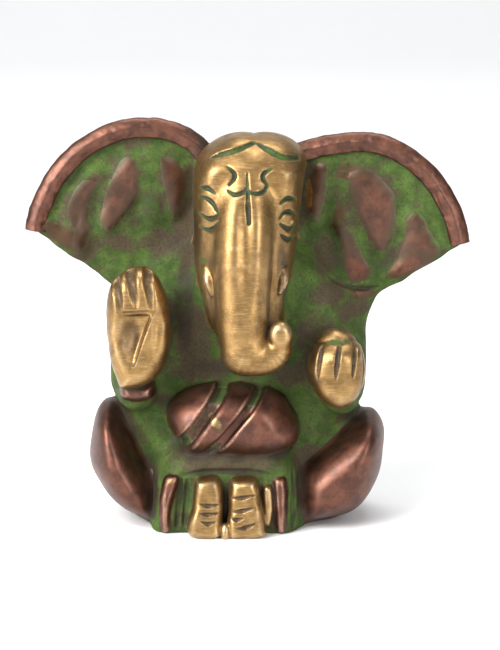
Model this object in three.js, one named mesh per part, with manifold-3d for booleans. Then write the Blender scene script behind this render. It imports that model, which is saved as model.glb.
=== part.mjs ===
// A small cast brass figurine of a seated, elephant-headed deity with wide fan ears.
// Millimetres, +Z up. The figure faces -Y and sits on its flat foot at Z = 0.
// "Right" and "left" are the figure's own, so its right side is at -X.
import * as THREE from "three";
import { mergeVertices } from "three/addons/utils/BufferGeometryUtils.js";
import Module from "manifold-3d";

const wasm = await Module();
wasm.setup();

// ---- Driving dimensions ----
const WIDTH = 60; // over the two ear tips
const DEPTH = 27; // from the toes to the small of the back
const FRONT = -DEPTH / 2; // the foremost plane, at the toes
const BACK = DEPTH / 2; // the hindmost plane, at the back
const GAP = 0.3; // between the masses of the casting
const CHEST = 5; // the torso's depth in front of its middle plane
const FACE = -1; // the head's middle plane
const BROW = 7.5; // the head's depth in front of that plane
const LAP_FRONT = -10.2; // the cloth over the shins
const EAR_ROOT = 3; // depth of the ear where it meets the head
const EAR_SWEEP = 2.4; // how far the tips come forward of the root
const EAR_FRONT = 1.2; // the ear panel's thickness, before and behind its own middle
const EAR_BACK = 1.5;
const RIM_RADIUS = 1.45; // the rolled edge of the ear
const NOTCH = 0.35; // half the width of a chased line

// ---- Finishes ----
const brass = new THREE.MeshStandardMaterial({ color: 0xb8924a, metalness: 1, roughness: 0.32 });
const copper = new THREE.MeshStandardMaterial({ color: 0x8a5546, metalness: 0.9, roughness: 0.4 });
const patina = new THREE.MeshStandardMaterial({ color: 0x3f6b2f, metalness: 0.1, roughness: 0.65 });

// ---- Shape helpers ----

// A closed three.js geometry as a solid that can be cut and joined.
function solidOf(geometry) {
  const bare = geometry.clone();
  bare.deleteAttribute("normal");
  bare.deleteAttribute("uv");
  const merged = mergeVertices(bare, 1e-4);
  const mesh = new wasm.Mesh({
    numProp: 3,
    vertProperties: new Float32Array(merged.attributes.position.array),
    triVerts: new Uint32Array(merged.index.array),
  });
  return new wasm.Manifold(mesh);
}

function geometryOf(solid) {
  const { vertProperties, triVerts } = solid.getMesh();
  const geometry = new THREE.BufferGeometry();
  geometry.setAttribute("position", new THREE.BufferAttribute(vertProperties, 3));
  geometry.setIndex(new THREE.BufferAttribute(triVerts, 1));
  geometry.computeVertexNormals();
  return geometry;
}

// A rounded mass. Its outline is a list of [x, z] points, clockwise from the front, and it bulges
// forward and back of the plane y = mid. A square of 1 is an ellipse in section, less is boxier.
function mass(outline, form, grow = 0) {
  const { mid, front, back, square = 0.8, around = 18, across = 8, lean = () => 0 } = form;
  const points = outline.map(([x, z]) => new THREE.Vector3(x, 0, z));
  const centre = points.reduce((sum, p) => sum.add(p), new THREE.Vector3()).divideScalar(points.length);
  const grown = points.map((p) => {
    const outward = p.clone().sub(centre);
    return p.clone().addScaledVector(outward.normalize(), grow);
  });
  const edge = new THREE.CatmullRomCurve3(grown, true, "centripetal");
  const geometry = new THREE.SphereGeometry(1, around, across);
  const { position, uv } = geometry.attributes;
  for (let i = 0; i < position.count; i++) {
    const polar = (1 - uv.getY(i)) * Math.PI;
    const atPole = uv.getY(i) === 0 || uv.getY(i) === 1;
    const reach = atPole ? 0 : Math.sin(polar) ** square;
    const depth = Math.abs(Math.cos(polar)) ** square;
    const rim = edge.getPointAt(THREE.MathUtils.euclideanModulo(uv.getX(i), 1));
    const at = centre.clone().lerp(rim, reach);
    const behind = Math.cos(polar) > 0;
    const y = mid + (behind ? back + grow : -front - grow) * depth + lean(at.x, at.z);
    position.setXYZ(i, at.x, y, at.z);
  }
  return solidOf(geometry);
}

// A limb: a round bar along a smooth line, with its own radius at each point and rounded ends.
function limb(line, radii, grow = 0, sides = 10, rings = 12) {
  const path = new THREE.CatmullRomCurve3(line.map((p) => new THREE.Vector3(...p)));
  const length = path.getLength();
  const radiusAt = (share) => {
    const place = THREE.MathUtils.clamp(share, 0, 1) * (radii.length - 1);
    const before = Math.min(Math.floor(place), radii.length - 2);
    return THREE.MathUtils.lerp(radii[before], radii[before + 1], place - before) + grow;
  };
  const first = radiusAt(0);
  const last = radiusAt(1);
  const profile = [];
  for (let i = 0; i <= rings; i++) {
    const turn = (Math.PI * i) / rings;
    const station = THREE.MathUtils.lerp(-first, length + last, (1 - Math.cos(turn)) / 2);
    const pastStart = Math.min(station, 0) / first;
    const pastEnd = Math.max(station - length, 0) / last;
    const taper = Math.sqrt(Math.max(0, 1 - pastStart ** 2 - pastEnd ** 2));
    const radius = i === 0 || i === rings ? 0 : radiusAt(station / length) * taper;
    profile.push(new THREE.Vector2(radius, station));
  }
  const geometry = new THREE.LatheGeometry(profile, sides);
  const { position } = geometry.attributes;
  const depthAxis = new THREE.Vector3(0, 1, 0);
  for (let i = 0; i < position.count; i++) {
    const station = position.getY(i);
    const share = THREE.MathUtils.clamp(station / length, 0, 1);
    const along = path.getTangentAt(share);
    const side = new THREE.Vector3().crossVectors(depthAxis, along).normalize();
    const out = new THREE.Vector3().crossVectors(side, along);
    const at = path.getPointAt(share);
    at.addScaledVector(along, station - share * length);
    at.addScaledVector(side, position.getX(i)).addScaledVector(out, position.getZ(i));
    position.setXYZ(i, at.x, at.y, at.z);
  }
  return solidOf(geometry);
}

// A round bar of one radius with flat ends, for a rolled edge.
function rolledEdge(line, radius, steps) {
  const section = new THREE.Shape().absarc(0, 0, radius, 0, 2 * Math.PI);
  const path = new THREE.CatmullRomCurve3(line.map((p) => new THREE.Vector3(...p)));
  const form = { steps, curveSegments: 5, extrudePath: path };
  return solidOf(new THREE.ExtrudeGeometry(section, form));
}

function ellipsoid([x, y, z], [rx, ry, rz], tilt = 0, grow = 0, around = 16, across = 10) {
  const geometry = new THREE.SphereGeometry(1, around, across);
  geometry.scale(rx + grow, ry + grow, rz + grow).rotateY(tilt).translate(x, y, z);
  return solidOf(geometry);
}

function block([x, y, z], [width, depth, height], tilt = 0) {
  const geometry = new THREE.BoxGeometry(width, depth, height);
  geometry.rotateY(tilt).translate(x, y, z);
  return solidOf(geometry);
}

// A chased line: a slim spindle between two points, for cutting. The width is across the line on the
// face that it is cut into, and the depth is half of what it measures from front to back.
function chasedLine(from, to, width = NOTCH, depth = NOTCH) {
  const start = new THREE.Vector3(...from);
  const end = new THREE.Vector3(...to);
  const profile = [[0, -0.5], [1, -0.25], [1, 0.25], [0, 0.5]].map((p) => new THREE.Vector2(...p));
  const geometry = new THREE.LatheGeometry(profile, 4);
  geometry.scale(width, start.distanceTo(end), depth);
  const along = end.clone().sub(start).normalize();
  const across = new THREE.Vector3().crossVectors(along, new THREE.Vector3(0, 1, 0)).normalize();
  const inward = new THREE.Vector3().crossVectors(across, along);
  geometry.applyMatrix4(new THREE.Matrix4().makeBasis(across, along, inward));
  geometry.translate(...start.add(end).divideScalar(2).toArray());
  return solidOf(geometry);
}

const cut = (solid, ...tools) => tools.reduce((left, tool) => left.subtract(tool), solid);

// Everything under the foot of the figure is cut away, so that it stands on one plane.
const UNDER = block([0, 0, -10], [2 * WIDTH, 2 * DEPTH, 20]);
const onFoot = (solid) => solid.subtract(UNDER);

// ---- The body ----

const TORSO = [
  [-17.6, 12], [-18.3, 17.5], [-17.5, 24], [-15, 30], [-10.5, 35], [-5, 38.5], [0, 39.5], [5, 38.5],
  [10, 35], [14, 31], [15.6, 27], [15.7, 20], [15.3, 14], [14, 8], [12, -2], [0, -4], [-15, -2], [-16.5, 5],
];
const torsoMass = (grow) => mass(TORSO, { mid: 0, front: CHEST, back: BACK, around: 22, across: 10 }, grow);

const RIGHT_ARM = [[-13.3, 4, 30], [-15.4, 2, 24.5], [-15.7, -2, 19.5], [-15, -6.5, 19]];
const LEFT_ARM = [[12, 4, 29], [12.9, 1.5, 24], [12.8, -2.5, 19], [12.6, -6.5, 18.5]];
const rightArmMass = (grow) => limb(RIGHT_ARM, [3.4, 3.2, 3, 2.6], grow);
const leftArmMass = (grow) => limb(LEFT_ARM, [3.2, 3, 2.9, 2.5], grow);

const RIGHT_THIGH = [
  [-21.7, 8.3], [-21.5, 11.2], [-20.6, 14.7], [-19, 16.2], [-17.2, 14.8], [-15.5, 11.9], [-13.8, 8.6],
  [-12.4, 5.8], [-11.8, 2.5], [-12, -0.5], [-15, -0.6], [-18, 1.7], [-20.4, 4.5],
];
const LEFT_THIGH = [
  [5.9, 3.5], [6.8, 7], [8.8, 9.8], [12, 12.8], [15, 14.6], [16.9, 14.8], [18, 13.1], [18.6, 11],
  [18.2, 7], [16.5, 3.2], [14.8, 1], [11, -0.4], [8.8, -0.6], [6, -0.6],
];
const thighForm = { mid: -0.5, front: 9.5, back: 9, square: 0.85 };
const rightThighMass = (grow) => mass(RIGHT_THIGH, thighForm, grow);
const leftThighMass = (grow) => mass(LEFT_THIGH, thighForm, grow);

const LAP = [
  [-12.6, 5], [-11.5, 9], [-9, 10.6], [-3, 10.9], [3, 10.6], [5.5, 9], [6.3, 5], [6, -1], [-3, -2],
  [-12.5, -1],
];
const lapMass = (grow) => mass(LAP, { mid: -5, front: -5 - LAP_FRONT, back: 3, square: 0.6 }, grow);

function torso() {
  const grips = [rightArmMass, leftArmMass, rightThighMass, leftThighMass].map((m) => m(GAP));
  return onFoot(cut(torsoMass(0), ...grips));
}

const rightThigh = () => onFoot(rightThighMass(0));
const leftThigh = () => onFoot(leftThighMass(0));

function lap() {
  return onFoot(cut(lapMass(0), torsoMass(GAP), rightThighMass(GAP), leftThighMass(GAP)));
}

function pleat(outline) {
  const strip = mass(outline, { mid: LAP_FRONT, front: 0.9, back: 1.4, square: 0.6, around: 12, across: 8 });
  return onFoot(cut(strip, lapMass(GAP), rightThighMass(GAP), leftThighMass(GAP)));
}

const RIGHT_PLEAT = [
  [-12, 4], [-11.8, 7.6], [-11, 8.3], [-10.2, 7.6], [-10.4, 4], [-10.6, 0.9], [-11.2, 0.4], [-11.8, 0.9],
];
const LEFT_PLEAT = [
  [3.8, 4], [3.6, 7.4], [4.3, 8.1], [5.1, 7.4], [5, 4], [4.9, 0.8], [4.4, 0.3], [3.9, 0.8],
];

// ---- The belly, crossed by a sash between two channels ----

const BELLY = [
  [-11.1, 17.2], [-9.7, 20.2], [-5.1, 21.6], [1.5, 20.8], [4.7, 18.5], [6.7, 15.2], [5.5, 12], [0.9, 11.4],
  [-3.1, 11.5], [-7.8, 12], [-10.1, 14.1],
];
const SASH_LEAN = Math.atan2(5.2, 7.2); // from the vertical, its top towards the left shoulder
const UPPER_CHANNEL = { x: -6.8, z: 17.1, width: 1.4 };
const LOWER_CHANNEL = { x: -1.6, z: 16.2, width: 0.8 };

// All that lies to one side of a channel: side -1 is towards the right hand, 1 towards the left.
function besideChannel({ x, z, width }, side) {
  const size = WIDTH;
  const reach = size / 2 - width / 2;
  return block(
    [x + side * reach * Math.cos(SASH_LEAN), 0, z - side * reach * Math.sin(SASH_LEAN)],
    [size, size, size],
    SASH_LEAN,
  );
}

function bellyMass() {
  const whole = mass(BELLY, { mid: -6, front: 6.6, back: 3.5, around: 20, across: 10 });
  return cut(whole, torsoMass(GAP), lapMass(GAP), trunkMass(GAP), rightThighMass(GAP));
}

const bellyFoldRight = () => cut(bellyMass(), besideChannel(UPPER_CHANNEL, 1));
const sashBand = () => cut(bellyMass(), besideChannel(UPPER_CHANNEL, -1), besideChannel(LOWER_CHANNEL, 1));
const bellyFoldLeft = () => cut(bellyMass(), besideChannel(LOWER_CHANNEL, -1));

// ---- The head ----

const HEAD = [
  [-7.3, 38], [-7.4, 44], [-7.3, 48.5], [-5.5, 51.2], [-2.5, 52.2], [0.6, 52.2], [3.5, 52.1], [6, 51],
  [7.5, 49], [7.1, 44.4], [6.3, 37.6], [5.4, 30.7], [4.6, 26.8], [1, 24.6], [-3.5, 24.6], [-6.2, 26.3],
  [-6.9, 31],
];
const headForm = { mid: FACE, front: BROW, back: 10, square: 0.7, around: 20, across: 10 };
const headMass = (grow) => mass(HEAD, headForm, grow);

const CROWN_LEAN = 0.3;
const crownMass = (side, grow) =>
  ellipsoid([0.6 + side * 3.7, -0.6, 50.7], [3.6, 6.6, 2.3], side * CROWN_LEAN, grow, 12, 8);

const TRUNK_LINE = [
  [-0.2, -5.5, 47.5], [-0.4, -8, 42.5], [-0.7, -9.3, 36.5], [-0.75, -9.6, 31], [-0.6, -9.7, 27],
  [-0.4, -9.8, 25],
];
const TRUNK_RADII = [2.8, 4.3, 4, 3.5, 3.3, 3.1];
const CURL_LINE = [[0.9, -10, 24.6], [3.2, -10.3, 25], [4.35, -10.8, 27.9]];
const CURL_RADII = [2.5, 2.05, 1.5];
const WRINKLE_HEIGHTS = [28.5, 31, 33.5];
const trunkMass = (grow) => limb(TRUNK_LINE, TRUNK_RADII, grow).add(limb(CURL_LINE, CURL_RADII, grow));

function head() {
  const lines = [
    chasedLine([-0.2, -8.6, 49], [-0.2, -8.6, 42.4]), // the brow mark's upright
    chasedLine([-2.8, -8.4, 46.4], [-0.4, -8.6, 46.4]), // and its two cups
    chasedLine([2.4, -8.4, 46.4], [0, -8.6, 46.4]),
  ];
  return cut(headMass(0), torsoMass(GAP), crownMass(-1, GAP), crownMass(1, GAP), ...lines);
}

function crownLobe(side) {
  const other = block([0.6 - side * (WIDTH / 2 - GAP / 2), 0, 50], [WIDTH, WIDTH, WIDTH]);
  return cut(crownMass(side, 0), other);
}

function trunk() {
  const wrinkles = WRINKLE_HEIGHTS.map((z) => chasedLine([-3.4, -12.4, z], [1.8, -12.6, z], 0.15, 0.15));
  return cut(trunkMass(0), headMass(GAP), torsoMass(GAP), ...wrinkles);
}

function tusk(side) {
  const line = [[side * 5 - 0.3, -7.6, 35.2], [side * 4.9 - 0.3, -8.5, 34], [side * 4.7 - 0.3, -8.7, 32.6]];
  return cut(limb(line, [0.9, 0.85, 0.5], 0, 10, 8), headMass(GAP), trunkMass(GAP));
}

function eye(side) {
  const socket = ellipsoid([side * 5.2 - 0.1, -6.9, 43.4], [1.5, 1.3, 0.8], side * 0.25, 0, 12, 8);
  return cut(socket, headMass(GAP), trunkMass(GAP));
}

// ---- The ears ----

// The fan bends forward from its root beside the head to its tip.
const earBend = (x) => EAR_ROOT - EAR_SWEEP * ((Math.abs(x) - 7) / 23) ** 2;

const RIGHT_EAR = [
  [-28.9, 41], [-28.2, 43.5], [-25.5, 48], [-22.5, 51], [-18, 53.2], [-14, 53.5], [-10.5, 53], [-6, 51],
  [-5, 44], [-5, 36], [-7, 28], [-13, 28.2], [-17.6, 31.1], [-22.5, 34.7], [-26.8, 38],
];
const LEFT_EAR = [
  [5, 36], [5, 44], [6.5, 50], [12, 51.2], [16.5, 51.5], [21, 49.8], [24.5, 47.2], [27, 43.5], [28.6, 39.5],
  [28.6, 37.4], [26.5, 36], [22.4, 33.6], [18, 30.3], [14.5, 28], [8, 28],
];
const earForm = {
  mid: 0, front: EAR_FRONT, back: EAR_BACK, square: 0.35, around: 26, across: 8, lean: earBend,
};
const rightEarMass = (grow) => mass(RIGHT_EAR, earForm, grow);
const leftEarMass = (grow) => mass(LEFT_EAR, earForm, grow);

const RIGHT_RIM = [
  [-7, 51.3], [-10.5, 53], [-14.3, 53.4], [-18.2, 52.9], [-22.5, 50.6], [-26, 46.7], [-28.4, 42],
];
const LEFT_RIM = [[7, 50.3], [11.5, 51], [16.5, 51.3], [20.5, 50], [24.6, 46.8], [27.2, 42.8], [28.7, 38.4]];

function rim(line, grow) {
  const route = line.map(([x, z]) => [x, earBend(x), z]);
  return rolledEdge(route, RIM_RADIUS + grow, 18);
}

function earPanel(earMass, armMass, line) {
  const neighbours = [headMass, torsoMass, armMass].map((m) => m(GAP));
  return cut(earMass(0), rim(line, GAP), crownMass(Math.sign(line[0][0]), GAP), ...neighbours);
}

function earRim(line) {
  return cut(rim(line, 0), headMass(GAP), crownMass(Math.sign(line[0][0]), GAP));
}

// A raised fold on the front of the ear, standing on the panel.
function earFold(outline, earMass, line) {
  const middle = outline.reduce((sum, [x]) => sum + x, 0) / outline.length;
  const form = { mid: earBend(middle) - EAR_FRONT, front: 1.5, back: 0.9, around: 14, across: 8 };
  return cut(mass(outline, form), earMass(GAP), rim(line, GAP), headMass(GAP));
}

const RIGHT_FOLDS = {
  inner: [[-12.1, 45.5], [-11.6, 49], [-10.6, 48.4], [-10, 45], [-10.6, 41], [-11.6, 42]],
  middle: [
    [-19.2, 40.5], [-18.2, 44], [-16, 47.8], [-14.4, 48.6], [-14.8, 45.2], [-16.4, 41.8], [-18.4, 39.2],
  ],
  outer: [[-24, 39.4], [-23.2, 43], [-22.4, 44.4], [-21.6, 42.4], [-21.8, 39.2], [-22.8, 37.6]],
};
const LEFT_FOLDS = {
  inner: [[9.1, 44.6], [10, 47.6], [11, 48.2], [10.9, 45.4], [9.9, 41.6], [9.1, 41.6]],
  middle: [
    [13.6, 45.4], [14.2, 47.6], [16.4, 46.4], [19.2, 43.6], [19.2, 39.6], [18.2, 37], [16, 40], [14.4, 43],
  ],
  outer: [[21, 35.6], [21.4, 38.6], [22.4, 41], [23.4, 39.8], [24.4, 37.2], [23, 35.6]],
  lower: [[13.2, 40], [13.8, 40.6], [15, 37], [16.4, 33.6], [15.4, 32.6], [14.2, 34.6]],
};

// ---- Hands and feet ----

const RIGHT_HAND = [
  [-18.7, 30], [-18.4, 33.4], [-17.2, 35.8], [-14.7, 36.6], [-12.1, 35.6], [-10.8, 32.9], [-10.4, 29],
  [-10.6, 25.5], [-11.7, 22.4], [-13.4, 20.5], [-16.8, 20.3], [-17.8, 21.8], [-18.5, 25.5],
];
const rightHandMass = (grow) =>
  mass(RIGHT_HAND, { mid: -8.6, front: 3.6, back: 2.6, square: 0.7, around: 18, across: 10 }, grow);

// A finger line: the deep notch between two fingers of a hand.
const FINGER_NOTCH = { width: 0.4, depth: 0.6 };
const fingerLine = (from, to) => chasedLine(from, to, FINGER_NOTCH.width, FINGER_NOTCH.depth);

function rightHand() {
  const fingers = [-16.7, -14.8, -12.9].map((x) => fingerLine([x, -11.7, 36.6], [x + 0.5, -12.2, 30.2]));
  const palm = ellipsoid([-15.2, -12.6, 27.6], [1.9, 1.5, 4], 0, 0, 10, 8);
  return cut(rightHandMass(0), ...fingers, palm, rightArmMass(GAP), torsoMass(GAP));
}

const CUFF = [
  [-17.9, 19.2], [-17.6, 19.8], [-15.2, 19.9], [-13, 20], [-12.8, 19.2], [-13.2, 18.4], [-15.2, 18],
  [-17.4, 18.2],
];

function rightCuff() {
  const band = mass(CUFF, { mid: -7.5, front: 3.4, back: 1.5, around: 14, across: 8 });
  return cut(band, rightHandMass(GAP), rightArmMass(GAP), torsoMass(GAP));
}

const LEFT_HAND = [
  [8, 22], [8.2, 24.5], [9.2, 26], [12, 26.6], [14.8, 26.2], [15.8, 23.7], [15.9, 21.2], [14.4, 17.8],
  [12.6, 17.1], [10.2, 17.9], [8.6, 19.7],
];
const leftHandMass = (grow) =>
  mass(LEFT_HAND, { mid: -8.4, front: 4.6, back: 2.4, square: 0.7, around: 18, across: 10 }, grow);

function leftHand() {
  const fingers = [9.5, 11.7, 13.9].map((x) => fingerLine([x, -12.5, 26.2], [x - 0.3, -13, 21.8]));
  return cut(leftHandMass(0), ...fingers, leftArmMass(GAP), torsoMass(GAP));
}

function sweet() {
  const ball = ellipsoid([12.1, -8.2, 26.2], [3, 2.8, 2.5]);
  return cut(ball, leftHandMass(GAP), leftArmMass(GAP), torsoMass(GAP), leftEarMass(GAP));
}

const RIGHT_FOOT = [
  [-7.6, 4], [-7.2, 8.4], [-5.3, 9.2], [-3.7, 8.4], [-3.5, 4], [-3.6, -0.6], [-5.5, -1], [-7.9, -0.6],
];
const LEFT_FOOT = [
  [-2.9, 4], [-2.6, 8.3], [-0.6, 9.1], [1.3, 8.4], [2, 4], [2.1, -0.6], [-0.3, -1], [-3, -0.6],
];

// The lines that part the toes: their heights, and how wide and deep they are cut.
const TOE_HEIGHTS = [2.2, 3.8, 5.4];
const TOE_NOTCH = { width: 0.2, depth: 0.6 };

function foot(outline, left, right) {
  const form = { mid: -10.6, front: -10.6 - FRONT, back: 2, square: 0.6, around: 16, across: 10 };
  const y = FRONT + 0.1;
  const { width, depth } = TOE_NOTCH;
  const toes = TOE_HEIGHTS.map((z) => chasedLine([left, y, z], [right, y, z + 0.1], width, depth));
  return onFoot(cut(mass(outline, form), lapMass(GAP), ...toes));
}

const HEEL = [
  [2.5, 4.5], [2.4, 6.8], [2.8, 7.4], [3.2, 6.8], [3.3, 4.5], [3.2, 2.4], [2.9, 1.8], [2.5, 2.4],
];

function leftHeel() {
  const strip = mass(HEEL, { mid: LAP_FRONT, front: 1.4, back: 1.2, square: 0.6, around: 12, across: 8 });
  return cut(strip, lapMass(GAP));
}

// ---- The whole figure ----

const figure = new THREE.Group();

function add(name, solid, material) {
  const mesh = new THREE.Mesh(geometryOf(solid), material);
  mesh.name = name;
  figure.add(mesh);
}

add("torso", torso(), patina);
add("right_arm", cut(rightArmMass(0), UNDER), patina);
add("left_arm", cut(leftArmMass(0), UNDER), patina);
add("lap_cloth", lap(), patina);
add("right_thigh", rightThigh(), copper);
add("left_thigh", leftThigh(), copper);
add("right_pleat", pleat(RIGHT_PLEAT), copper);
add("left_pleat", pleat(LEFT_PLEAT), copper);
add("belly_fold_right", bellyFoldRight(), copper);
add("sash_band", sashBand(), copper);
add("belly_fold_left", bellyFoldLeft(), copper);
add("head", head(), brass);
add("trunk", trunk(), brass);
for (const [name, side] of [["right", -1], ["left", 1]]) {
  add(`${name}_crown_lobe`, crownLobe(side), brass);
  add(`${name}_tusk`, tusk(side), brass);
  add(`${name}_eye`, eye(side), brass);
}
add("right_ear", earPanel(rightEarMass, rightArmMass, RIGHT_RIM), patina);
add("left_ear", earPanel(leftEarMass, leftArmMass, LEFT_RIM), patina);
add("right_ear_rim", earRim(RIGHT_RIM), copper);
add("left_ear_rim", earRim(LEFT_RIM), copper);
for (const [name, outline] of Object.entries(RIGHT_FOLDS)) {
  add(`right_ear_fold_${name}`, earFold(outline, rightEarMass, RIGHT_RIM), copper);
}
for (const [name, outline] of Object.entries(LEFT_FOLDS)) {
  add(`left_ear_fold_${name}`, earFold(outline, leftEarMass, LEFT_RIM), copper);
}
add("right_hand", rightHand(), brass);
add("right_cuff", rightCuff(), copper);
add("left_hand", leftHand(), brass);
add("sweet", sweet(), brass);
add("right_foot", foot(RIGHT_FOOT, -6.6, -4.2), brass);
add("left_foot", foot(LEFT_FOOT, -1.8, 0.8), brass);
add("left_heel", leftHeel(), brass);

// The origin is the middle of the footprint's box, on the plane that the figure stands on.
const box = new THREE.Box3().setFromObject(figure);
const middle = box.getCenter(new THREE.Vector3());
figure.position.set(-middle.x, -middle.y, -box.min.z);

export default figure;
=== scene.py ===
import math

import bpy
import numpy as np
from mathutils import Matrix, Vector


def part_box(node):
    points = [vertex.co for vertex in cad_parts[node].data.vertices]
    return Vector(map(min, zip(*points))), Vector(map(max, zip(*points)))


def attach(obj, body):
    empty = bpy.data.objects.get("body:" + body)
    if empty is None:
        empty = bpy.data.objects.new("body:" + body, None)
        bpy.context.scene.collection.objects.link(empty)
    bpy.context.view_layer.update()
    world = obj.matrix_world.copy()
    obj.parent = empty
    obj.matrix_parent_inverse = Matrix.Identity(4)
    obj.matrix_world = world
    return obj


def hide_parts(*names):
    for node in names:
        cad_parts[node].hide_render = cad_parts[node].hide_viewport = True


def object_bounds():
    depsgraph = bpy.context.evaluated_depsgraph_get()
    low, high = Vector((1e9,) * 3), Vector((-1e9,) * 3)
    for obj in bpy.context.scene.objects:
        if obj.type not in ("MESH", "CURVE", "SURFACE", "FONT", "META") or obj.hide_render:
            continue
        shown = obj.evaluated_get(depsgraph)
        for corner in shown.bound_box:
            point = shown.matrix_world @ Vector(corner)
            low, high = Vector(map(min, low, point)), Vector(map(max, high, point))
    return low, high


# A small cast brass figurine of a seated, elephant-headed deity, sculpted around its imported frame.
# Forms are worked out in millimetres in the frame's own axes, and meshes are made in metres.
# A form is a function of x, y, z that gives the distance to a surface, negative inside the metal.

MM = 0.001
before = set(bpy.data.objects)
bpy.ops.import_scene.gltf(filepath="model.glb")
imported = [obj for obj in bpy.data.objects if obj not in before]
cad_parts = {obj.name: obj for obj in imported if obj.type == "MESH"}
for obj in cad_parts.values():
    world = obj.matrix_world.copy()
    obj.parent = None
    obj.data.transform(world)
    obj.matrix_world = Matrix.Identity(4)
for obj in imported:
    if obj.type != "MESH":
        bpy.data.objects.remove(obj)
cad_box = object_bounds()
PITCH = 0.21  # spacing of the grid that a form is skinned on
RIM_STEPS = 170  # rings along a rolled ear rim


def node_box(node):
    """A node's lowest and highest corners in millimetres."""
    low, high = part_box(node)
    return [v / MM for v in low], [v / MM for v in high]


# ---- Curves and outlines ----

def smooth_line(points, steps=6, closed=False):
    """A Catmull-Rom line through the points, as an array with that many steps between two of them."""
    p = np.array(points, float)
    count = len(p)
    spans = count if closed else count - 1
    out = []
    for i in range(spans):
        if closed:
            a, b, c, d = (p[(i + k) % count] for k in (-1, 0, 1, 2))
        else:
            a, b, c, d = (p[min(max(i + k, 0), count - 1)] for k in (-1, 0, 1, 2))
        for t in np.arange(steps) / steps:
            bend = (2 * a - 5 * b + 4 * c - d) * t + (3 * b - a - 3 * c + d) * t * t
            out.append(b + 0.5 * t * ((c - a) + bend))
    if not closed:
        out.append(p[-1])
    return np.array(out)


def blurred(grid, radius):
    """A grid with each value mixed with its neighbours up to that many cells away."""
    weights = np.exp(-0.5 * (np.arange(-radius, radius + 1) / (radius / 2)) ** 2)
    weights /= weights.sum()
    for axis in (0, 1):
        pads = [(radius, radius) if a == axis else (0, 0) for a in (0, 1)]
        wide = np.pad(grid, pads, mode="edge")
        size = grid.shape[axis]
        grid = sum(w * np.take(wide, range(k, k + size), axis) for k, w in enumerate(weights))
    return grid


class Outline:
    """The distance to a smooth closed outline of (x, z) points seen from the front, negative inside.
    A soft outline has its ridges and corners rounded over that many millimetres."""

    MARGIN = 4  # how far past the outline its grid reaches
    STEP = 0.14  # the spacing of that grid

    def __init__(self, points, soft=0):
        loop = smooth_line(points, closed=True)
        self.low = loop.min(0) - self.MARGIN
        size = np.ceil((loop.max(0) + self.MARGIN - self.low) / self.STEP).astype(int) + 1
        x = (self.low[0] + self.STEP * np.arange(size[0]))[:, None]
        z = (self.low[1] + self.STEP * np.arange(size[1]))[None, :]
        nearest = np.full(size, np.inf)
        crossings = np.zeros(size, int)
        for (ax, az), (bx, bz) in zip(loop, np.roll(loop, -1, 0)):
            ex, ez = bx - ax, bz - az
            t = np.clip(((x - ax) * ex + (z - az) * ez) / max(ex * ex + ez * ez, 1e-12), 0, 1)
            nearest = np.minimum(nearest, (x - ax - t * ex) ** 2 + (z - az - t * ez) ** 2)
            spans = (az > z) != (bz > z)
            ahead = x < ax + ex * (z - az) / (ez if ez else 1e-12)
            crossings += spans & ahead
        grid = np.sqrt(nearest) * np.where(crossings % 2, -1, 1)
        self.grid = blurred(grid, max(1, round(soft / self.STEP))) if soft else grid

    def __call__(self, x, z):
        u = (x - self.low[0]) / self.STEP
        w = (z - self.low[1]) / self.STEP
        top_u, top_w = (n - 1.001 for n in self.grid.shape)
        cu, cw = np.clip(u, 0, top_u), np.clip(w, 0, top_w)
        i, k = np.floor(cu).astype(int), np.floor(cw).astype(int)
        s, t = cu - i, cw - k
        g = self.grid
        below = g[i, k] * (1 - s) + g[i + 1, k] * s
        above = g[i, k + 1] * (1 - s) + g[i + 1, k + 1] * s
        value = below * (1 - t) + above * t
        return value + self.STEP * np.hypot(u - cu, w - cw)


# ---- Forms and how they meet ----

def melt(a, b, k):
    """The union of two forms, with a fillet about k wide where they meet."""
    h = np.maximum(k - np.abs(a - b), 0) / k
    return np.minimum(a, b) - h * h * k / 4


def keep(a, b, k):
    """What two forms share, with its edge rounded over k."""
    return -melt(-a, -b, k)


def gouge(a, tool, k):
    """A form with a tool's form cut out of it."""
    return -melt(-a, tool, k)


def rounded(a, b, edge):
    """What two forms share, each given short of its face by edge, with that round edge between them."""
    return np.hypot(np.maximum(a, 0), np.maximum(b, 0)) + np.minimum(np.maximum(a, b), 0) - edge


def pillow(outline, low_y, high_y, mid, roll, power=2.0, back_roll=None):
    """A form whose outline rolls over to its front at low_y and its back at high_y within roll of its
    edge. The two halves meet at mid."""
    def form(x, y, z):
        wide = np.where(y < mid, roll, back_roll or roll)
        across = np.maximum(outline(x, z) + wide, 0) / wide
        reach = np.where(y < mid, mid - low_y, high_y - mid)
        deep = np.abs(y - mid) / reach
        level = (across ** power + deep ** power) ** (1 / power)
        slope = np.hypot(across / wide, deep / reach) + 1e-9
        return level * (level - 1) / slope
    return form


def plate(outline, front, back, edge, bend):
    """A plate of even thickness between front and back, bent along x, with its edge rounded."""
    half, mid = (back - front) / 2, (front + back) / 2
    def form(x, y, z):
        a = outline(x, z) + edge
        b = np.abs(y - bend(x) - mid) - half + edge
        return rounded(a, b, edge)
    return form


def tapered(path, radius):
    """The distance to a round bar along a line of points, with a radius at each."""
    def form(x, y, z):
        best = np.inf
        for a, b, ra, rb in zip(path, path[1:], radius, radius[1:]):
            e = b - a
            px, py, pz = x - a[0], y - a[1], z - a[2]
            t = np.clip((px * e[0] + py * e[1] + pz * e[2]) / max(e @ e, 1e-12), 0, 1)
            gap = np.sqrt((px - t * e[0]) ** 2 + (py - t * e[1]) ** 2 + (pz - t * e[2]) ** 2)
            best = np.minimum(best, gap - ra - t * (rb - ra))
        return best
    return form


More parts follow.
